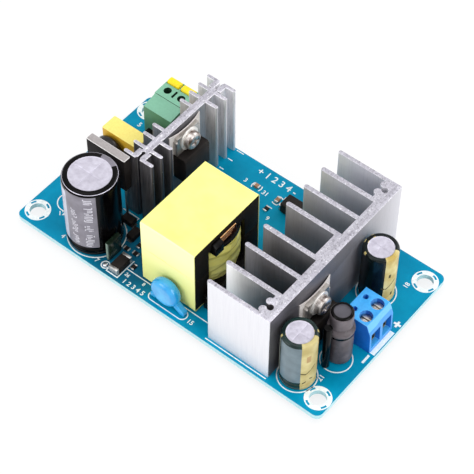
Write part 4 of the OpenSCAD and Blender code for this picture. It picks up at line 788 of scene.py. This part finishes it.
# a printed line on a sleeve, between two places given as (degrees, height in mm)
def curvedLine(build, middle, radius, start, end, width):
    steps = max(2, int(abs(end[0] - start[0]) / 4))
    # a steep line is given its width along the wall, a flat one up and down
    steep = abs(end[1] - start[1]) > radius * math.radians(abs(end[0] - start[0]))
    da = math.degrees(width / 2 / radius) if steep else 0
    dz = 0 if steep else width / 2
    sections = []
    for i in range(steps + 1):
        a = start[0] + (end[0] - start[0]) * i / steps
        z = start[1] + (end[1] - start[1]) * i / steps
        section = []
        for r, side in ((radius - 0.07, -1), (radius - 0.07, 1), (radius, 1), (radius, -1)):
            turn = math.radians(a + side * da)
            x, y = middle[0] / mm + r * math.cos(turn), middle[1] / mm + r * math.sin(turn)
            section.append((x, y, middle[2] / mm + z + side * dz))
        sections.append(section)
    shellThrough(build, sections)


def makeSleeveMarks(name, key, lines, finish, slotName):
    build = bmesh.new()
    for start, end, width in lines:
        curvedLine(build, *sleevePlaces[key], start, end, width)
    addBuilt(name, build, 30, finish, slotName=slotName)


strokes = {"width": 0.32, "sideWidth": 0.3, "sideHeight": 0.6, "step": 0.68, "gap": 1.3}


# short strokes in groups, where the real sleeve has lettering that runs up the wall
def strokeColumn(angle, reach, low, groups, seed):
    pick = random.Random(seed)
    lines, z = [], low
    for count in groups:
        for i in range(count):
            half = reach * pick.choice((0.6, 0.8, 1.0))
            shift = reach - half if pick.random() < 0.5 else half - reach
            lines.append(((angle + shift - half, z), (angle + shift + half, z), strokes["width"]))
            if i % 2 == 0:
                a = angle + pick.choice((-1, 1)) * reach
                lines.append(((a, z), (a, z + strokes["sideHeight"]), strokes["sideWidth"]))
            z += strokes["step"]
        z += strokes["gap"]
    return lines


sleevePlaces = {key: makeSleeve(key, values, sleeveShared) for key, values in sleeves.items()}
bulkStrokes = strokeColumn(-55, 8, 4.0, (8, 4, 9, 3), 3) + strokeColumn(-86, 6, 4.6, (5, 7, 5), 4)
chevron = [((-46, 7.6), (-30, 7.0), 0.42), ((-30, 7.0), (4, 9.4), 0.42)]
frontLines = chevron + [((-40, 3.0), (-28, 3.6), 0.5), ((-16, 4.4), (-4, 4.0), 0.5)]
frontBadge = [((angle, 12.2), (angle, 14.8), 0.42) for angle in (-27, -22, -17)]
backLines = chevron + [((-20, 11.6), (-20, 13.0), 0.7), ((-6, 3.2), (-6, 4.4), 0.7)]
makeSleeveMarks("bulkStrokes", "bulk", bulkStrokes, "whiteInk", "black_sleeve")
makeSleeveMarks("frontStripeMarks", "front", frontLines, "markInk", "green_sleeve")
makeSleeveMarks("frontStripeBadge", "front", frontBadge, "softInk", "green_sleeve")
makeSleeveMarks("backStripeMarks", "back", backLines, "markInk", "green_sleeve")
print("three can capacitors")


# transformer

transformerTape = {
    "steps": 30, "flatSteps": 24,
    # mm: the section's corners and thickness, and how far its faces dent
    "round": 0.55, "corner": 1.2, "thick": 0.2, "dent": 0.05, "crease": 0.03, "slack": 0.03, "sag": 0.07,
    # mm: the loose end, above the middle, off and proud of the front face, and above the band's foot
    "tailTop": 1.5, "tailOff": 0.005, "tailProud": 0.12, "tailFoot": 1.0, "tailSteps": 25,
}


def makeTape(values):
    low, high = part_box("transformer_tape")
    r, steps = values["round"], values["steps"]
    y0, y1, z0, z1 = low.y / mm, high.y / mm, low.z / mm, high.z / mm
    cy, cz = (y0 + y1) / 2, (z0 + z1) / 2
    # the band's section, across the board: a round rectangle
    section = []
    for y, z, start in [(y1 - r, z0 + r, -90), (y1 - r, z1 - r, 0), (y0 + r, z1 - r, 90), (y0 + r, z0 + r, 180)]:
        section += arcPoints(y, z, r, start, start + 90, 6)
    full = []
    for i, (y, z) in enumerate(section):
        ny, nz = section[(i + 1) % len(section)]
        full.append((y, z))
        if math.hypot(ny - y, nz - z) > 3:
            shares = [j / values["flatSteps"] for j in range(1, values["flatSteps"])]
            full += [(y + (ny - y) * share, z + (nz - z) * share) for share in shares]

    # a place near the band's outside moves inwards by the tape's thickness
    def inward(place, middle, size):
        if abs(place - middle) <= size / 2 - values["corner"]:
            return place * mm
        return (place - math.copysign(values["thick"], place - middle)) * mm

    # slack: small dents between the edges, more on the front and back
    def dented(x, y, z, share):
        edge = min(1.0, min(share, 1 - share) * 8)
        waves = values["dent"] * wave(x * 220, y * 0.16, z * 0.2)
        waves += values["crease"] * wave(x * 90, y * 0.9, z * 0.9)
        upright = abs(z - z1) > 0.05 and abs(z - z0) > 0.05
        sag = values["sag"] * math.sin(math.pi * share) if upright else 0.0
        return min(0.0, waves * edge - values["slack"] - sag)

    build = bmesh.new()
    rows = []
    for s in range(steps + 1):
        share = s / steps
        x = low.x + (high.x - low.x) * share
        outer, inner = [], []
        for y, z in full:
            dent = dented(x, y, z, share)
            ny, nz = (y - cy) / (y1 - y0), (z - cz) / (z1 - z0)
            length = math.hypot(ny, nz)
            ny, nz = ny / length, nz / length
            outer.append(build.verts.new((x, (y + dent * ny) * mm, (z + dent * nz) * mm)))
            inner.append(build.verts.new((x, inward(y, cy, y1 - y0), inward(z, cz, z1 - z0))))
        rows.append((outer, inner))
    for (outerA, innerA), (outerB, innerB) in zip(rows, rows[1:]):
        strip(build, outerA, outerB)
        strip(build, innerA, innerB)
    for outer, inner in (rows[0], rows[-1]):
        strip(build, outer, inner)
    addBuilt("transformerTapeBand", build, 50, "tape", ["transformer_tape"])


# the loose end of the tape, one layer up on the front face
def makeTapeEnd(values):
    low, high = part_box("transformer_tape")
    near, far = low.y / mm + values["tailOff"], low.y / mm + values["tailProud"]
    foot, steps = low.z / mm + values["tailFoot"], values["tailSteps"]
    sections = []
    for i in range(steps):
        x = low.x / mm + 0.15 + (high.x - low.x) / mm * i / steps * 0.985
        z = (low.z + high.z) / 2 / mm + values["tailTop"] + 0.25 * wave(x * 0.5, 3, 1)
        sections.append([(x, near, foot), (x, near, z), (x, far, z), (x, far, foot)])
    build = bmesh.new()
    shellThrough(build, sections)
    addBuilt("transformerTapeEnd", build, 30, "tape", slotName="yellow_tape")


windingTape = {
    "rows": 40, "columns": 220,
    # mm: inner radius, hollow at the middle, and how far the tape lies in, pulls and creases
    "bore": 7.3, "waist": 0.7, "sink": 0.17, "pull": 0.09, "fine": 0.12,
}


def makeWinding(values):
    middle, radius, height = roundSpan("transformer_winding")
    waist, rows = values["waist"], values["rows"]
    outline = [(values["bore"], 0.05), (radius - waist, 0.0)]
    for i in range(1, rows):
        outline.append((radius - waist * (1 - math.sin(math.pi * i / rows)) ** 2.0, height * i / rows))
    outline += [(radius - waist, height), (values["bore"], height - 0.05)]

    def ripple(angle, r, z):
        if r < values["bore"] + waist:
            return 0
        # diagonal pulls and overlapping turns of tape
        along = angle * 11
        pull = math.sin(z * 1.7 + along * 0.42 + 1.6 * wave(along * 0.2, z * 0.3, 2))
        fine = wave(along * 0.55, z * 1.1 + along * 0.25, 5)
        return values["pull"] * pull + values["fine"] * fine - values["sink"]

    build = bmesh.new()
    turned(build, outline, middle, values["columns"], None, ripple)
    addBuilt("transformerWindingTape", build, 60, "oliveTape", ["transformer_winding"])


makeTape(transformerTape)
makeTapeEnd(transformerTape)
makeWinding(windingTape)
roundEach(
    ("transformer_lower_core", "ferrite", 0.25), ("transformer_upper_core", "ferrite", 0.25),
    ("transformer_bobbin", "blackPlastic", 0.18),
)
print("transformer")


# power packages on the heatsinks

padSheets = {
    "node": "insulating_pads", "rows": 40, "columns": 26,
    # mm; grip: how far below its top the tab holds the pad
    "thick": 0.28, "bow": (0.9, 0.75), "grip": 0.4, "crinkle": 0.05,
}


# the boxes of a node's separate solids, in metres
def solidSpans(node):
    build = bmesh.new()
    build.from_mesh(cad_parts[node].data)
    bmesh.ops.remove_doubles(build, verts=build.verts, dist=0.002 * mm)
    spans, seen = [], set()
    for start in build.verts:
        if start in seen:
            continue
        group, queue = [], [start]
        seen.add(start)
        while queue:
            vert = queue.pop()
            group.append(vert.co.copy())
            for edge in vert.link_edges:
                other = edge.other_vert(vert)
                if other not in seen:
                    seen.add(other)
                    queue.append(other)
        spans.append([Vector([pick(p[i] for p in group) for i in range(3)]) for pick in (min, max)])
    build.free()
    return sorted(spans, key=lambda span: (span[0].x, span[0].y))


def makePads(values):
    build = bmesh.new()
    rows, columns = values["rows"], values["columns"]
    tabs = [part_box("switch_transistor_frame"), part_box("output_rectifier_frame")]
    for (low, high), bow, tab in zip(solidSpans(values["node"]), values["bow"], tabs):
        hold = tab[1].z - values["grip"] * mm
        sheets = []
        for offset in (0.0, values["thick"] * mm):
            grid = []
            for i in range(rows + 1):
                z = low.z + (high.z - low.z) * i / rows
                above = max(0.0, (z - hold) / (high.z - hold))
                line = []
                for j in range(columns + 1):
                    y = low.y + (high.y - low.y) * j / columns
                    across = abs(j / columns - 0.5) * 2
                    crinkle = values["crinkle"] * mm * wave(y * 300, z * 300, low.x * 50) * above
                    lift = bow * mm * above ** 1.6 * (1 - across ** 2.2) + crinkle
                    line.append(build.verts.new((low.x + offset + max(0.0, lift), y, z - 0.25 * lift)))
                grid.append(line)
            sheets.append(grid)
        for grid in sheets:
            for a, b in zip(grid, grid[1:]):
                strip(build, a, b, closed=False)
        rims = []
        for grid in sheets:
            right, left = [line[-1] for line in grid[1:-1]], [line[0] for line in grid[-2:0:-1]]
            rims.append(grid[0] + right + grid[-1][::-1] + left)
        strip(build, *rims)
    addBuilt("padSheets", build, 40, "padSilicone", [values["node"]])


makePads(padSheets)
roundEach(
    ("switch_transistor", "epoxy", 0.14), ("output_rectifier", "epoxy", 0.14),
    ("switch_transistor_frame", "frameTin", 0.07), ("output_rectifier_frame", "frameTin", 0.07),
    ("package_washers", "washerSteel", 0.1), ("package_screws", "packageSteel", 0.1),
    ("output_heatsink", "outputSink", 0.25), ("primary_heatsink", "primarySink", 0.1),
)
print("heatsinks and power packages")


# upright parts

roundEach(
    ("bridge_rectifier", "bridgeEpoxy", 0.2), ("box_capacitor", "yellowPlastic", 0.3, 3),
    ("fuse", "blackPlastic", 0.3, 3),
)
dipped("disc_capacitor", "blueLacquer", 0.13, 4)
dipped("thermistor", "darkLacquer", 0.14, 8)
dipped("film_capacitor", "greenLacquer", 0.1, 14)
print("upright parts")


# terminals

roundEach(
    ("input_terminal_housing", "greenPlastic", 0.16),
    ("left_push_button", "buttonPlastic", 0.2, 3, "left_button"),
    ("right_push_button", "buttonPlastic", 0.2, 3, "right_button"),
    ("output_terminal_housing", "bluePlastic", 0.16), ("output_terminal_screws", "screwSteel", 0.08),
    ("output_terminal_cages", "cage", 0.06),
)
print("terminals")


# choke

chokeSleeve = {
    "segments": 96, "ripple": 0.07,
    # mm: height of the bulge, radii of the bore and of the rolled rim
    "bulge": 13.4, "bore": 2.7, "rim": 2.36,
}


def makeChoke(values):
    middle, radius, top = roundSpan("choke_sleeve")
    bulge, bore, rim = values["bulge"], values["bore"], values["rim"]
    wall, collar = radius - 0.25, radius - 0.65
    outline = [(wall - 0.5, 0), (wall - 0.1, 0.1), (wall, 0.5)]
    outline += [(wall, 0.5 + (bulge - 3) * i / 12) for i in range(1, 13)]
    outline += [
        (wall + 0.1, bulge - 1.6), (radius - 0.02, bulge - 0.9), (wall + 0.1, bulge - 0.2),
        (wall - 0.35, bulge + 0.1), (collar - 0.35, bulge + 0.5), (collar - 0.1, bulge + 0.9), (collar, bulge + 1.5),
    ]
    outline += [(collar, bulge + 1.5 + (top - bulge - 2.6) * i / 6) for i in range(1, 7)]
    outline += arcPoints(collar - 0.9, top - 0.9, 0.9, 15, 90, 6)
    outline += [(rim + 0.14, top - 0.03), (rim + 0.02, top - 0.12), (rim, top - 0.35)]
    outline += [(bore, top - 0.38), (bore, 3.0), (bore, 0.3)]

    # painted shade: the crease under the bulge and the rolled rim get the black film
    def pick(angle, z):
        return 1 if bulge - 2.6 < z < bulge - 1.7 or z > top - 0.5 else 0

    def ripple(angle, r, z):
        if r < bore + 0.05:
            return 0
        bump = wave(math.cos(angle) * 2.4, math.sin(angle) * 2.4, z * 0.8)
        return -abs(bump) * values["ripple"] - 0.01

    build = bmesh.new()
    turned(build, outline, middle, values["segments"], pick, ripple)
    addBuilt("chokeSleeveFilm", build, 60, ["brownFilm", "blackFilm"], ["choke_sleeve"])


makeChoke(chokeSleeve)
roundEach(
    ("choke_return_sleeve", "blackFilm", 0.3, 3), ("optocoupler", "epoxy", 0.18), ("block_resistor", "epoxy", 0.06),
    ("chip_capacitors", "brownCeramic", 0.05), ("chip_resistors", "epoxy", 0.04), ("chip_metal_ends", "tin", 0.06),
    ("surface_diodes", "epoxy", 0.08), ("controller_chip", "epoxy", 0.08),
)
print("choke and board parts")


# what keeps its CAD shape gets its finish here

carriedOver = {
    "tin": [
        "heatsink_pins", "capacitor_leads", "transformer_pins", "bridge_leads", "small_part_leads",
        "output_terminal_pins", "choke_leads", "optocoupler_legs", "surface_diode_tabs", "controller_chip_legs"],
    "boardLacquer": ["circuit_board"], "enamelledCopper": ["transformer_wires", "choke_winding"],
    "brightSolder": ["solder_joints"], "rodEnd": ["choke_core"], "spring": ["input_terminal_springs"],
    "whitePlastic": ["insulating_bushes"],
}
for finish, nodes in carriedOver.items():
    for node in nodes:
        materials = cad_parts[node].data.materials
        materials.clear()
        materials.append(finishes[finish])
print("finishes on the remaining pieces")


# floor, lights and world

studio = {
    "white": (1, 1, 1, 1), "floorColor": (246, 246, 246), "floorRoughness": 0.9, "floorSize": 3.0,
    "floorGlow": 0.82, "worldLight": 0.76,
    "aim": (0, 0, 0.01),
    "lamps": [
        # name, place in m, size in m, power in W
        ("overheadLamp", (-0.1, -0.1, 0.85), 0.7, 1.5),
        ("frontLamp", (-0.35, -0.75, 0.35), 0.6, 2.6),
        ("rightLamp", (0.8, -0.1, 0.45), 0.6, 3.5),
        ("backLamp", (0.25, 0.8, 0.6), 0.6, 2.4),
    ],
}


# 1 for the rays that show the white background: seen directly, in metal or through glass
def whiteShare(tree):
    rays = shaderNode(tree, "LightPath", {}).outputs
    share = rays["Is Camera Ray"]
    for other in ("Is Glossy Ray", "Is Transmission Ray"):
        share = shaderNode(tree, "Math", {0: share, 1: rays[other]}, operation="MAXIMUM").outputs[0]
    return share


# ends a tree with a blend of two shaders
def blendInto(tree, end, share, a, b):
    blend = shaderNode(tree, "MixShader", {0: share, 1: a.outputs[0], 2: b.outputs[0]})
    tree.links.new(blend.outputs[0], tree.nodes[end].inputs["Surface"])


def makeFloor(values):
    bpy.ops.mesh.primitive_plane_add(size=values["floorSize"], location=(0, 0, cadLow.z))
    floor = bpy.context.object
    floor.name = "studioFloor"
    look = Look("floorPaper", values["floorColor"], values["floorRoughness"])
    glow = look.make("Emission", {"Color": values["white"]})
    share = look.times(whiteShare(look.tree), values["floorGlow"])
    blendInto(look.tree, "Material Output", share, look.shader, glow)
    floor.data.materials.append(finishes["floorPaper"])


def makeLights(values):
    world = bpy.data.worlds.new("studioWorld")
    bpy.context.scene.world = world
    world.use_nodes = True
    tree = world.node_tree
    soft = tree.nodes["Background"]
    soft.inputs["Color"].default_value = values["white"]
    soft.inputs["Strength"].default_value = values["worldLight"]
    white = shaderNode(tree, "Background", {"Color": values["white"], "Strength": 1.0})
    blendInto(tree, "World Output", whiteShare(tree), soft, white)
    for name, place, size, power in values["lamps"]:
        data = bpy.data.lights.new(name, "AREA")
        data.shape = "DISK"
        data.size = size
        data.energy = power
        lamp = bpy.data.objects.new(name, data)
        lamp.location = place
        lamp.rotation_euler = (Vector(values["aim"]) - Vector(place)).to_track_quat("-Z", "Y").to_euler()
        link(lamp)


makeFloor(studio)
makeLights(studio)
bpy.context.scene.view_settings.view_transform = "Standard"
print("floor and lights")
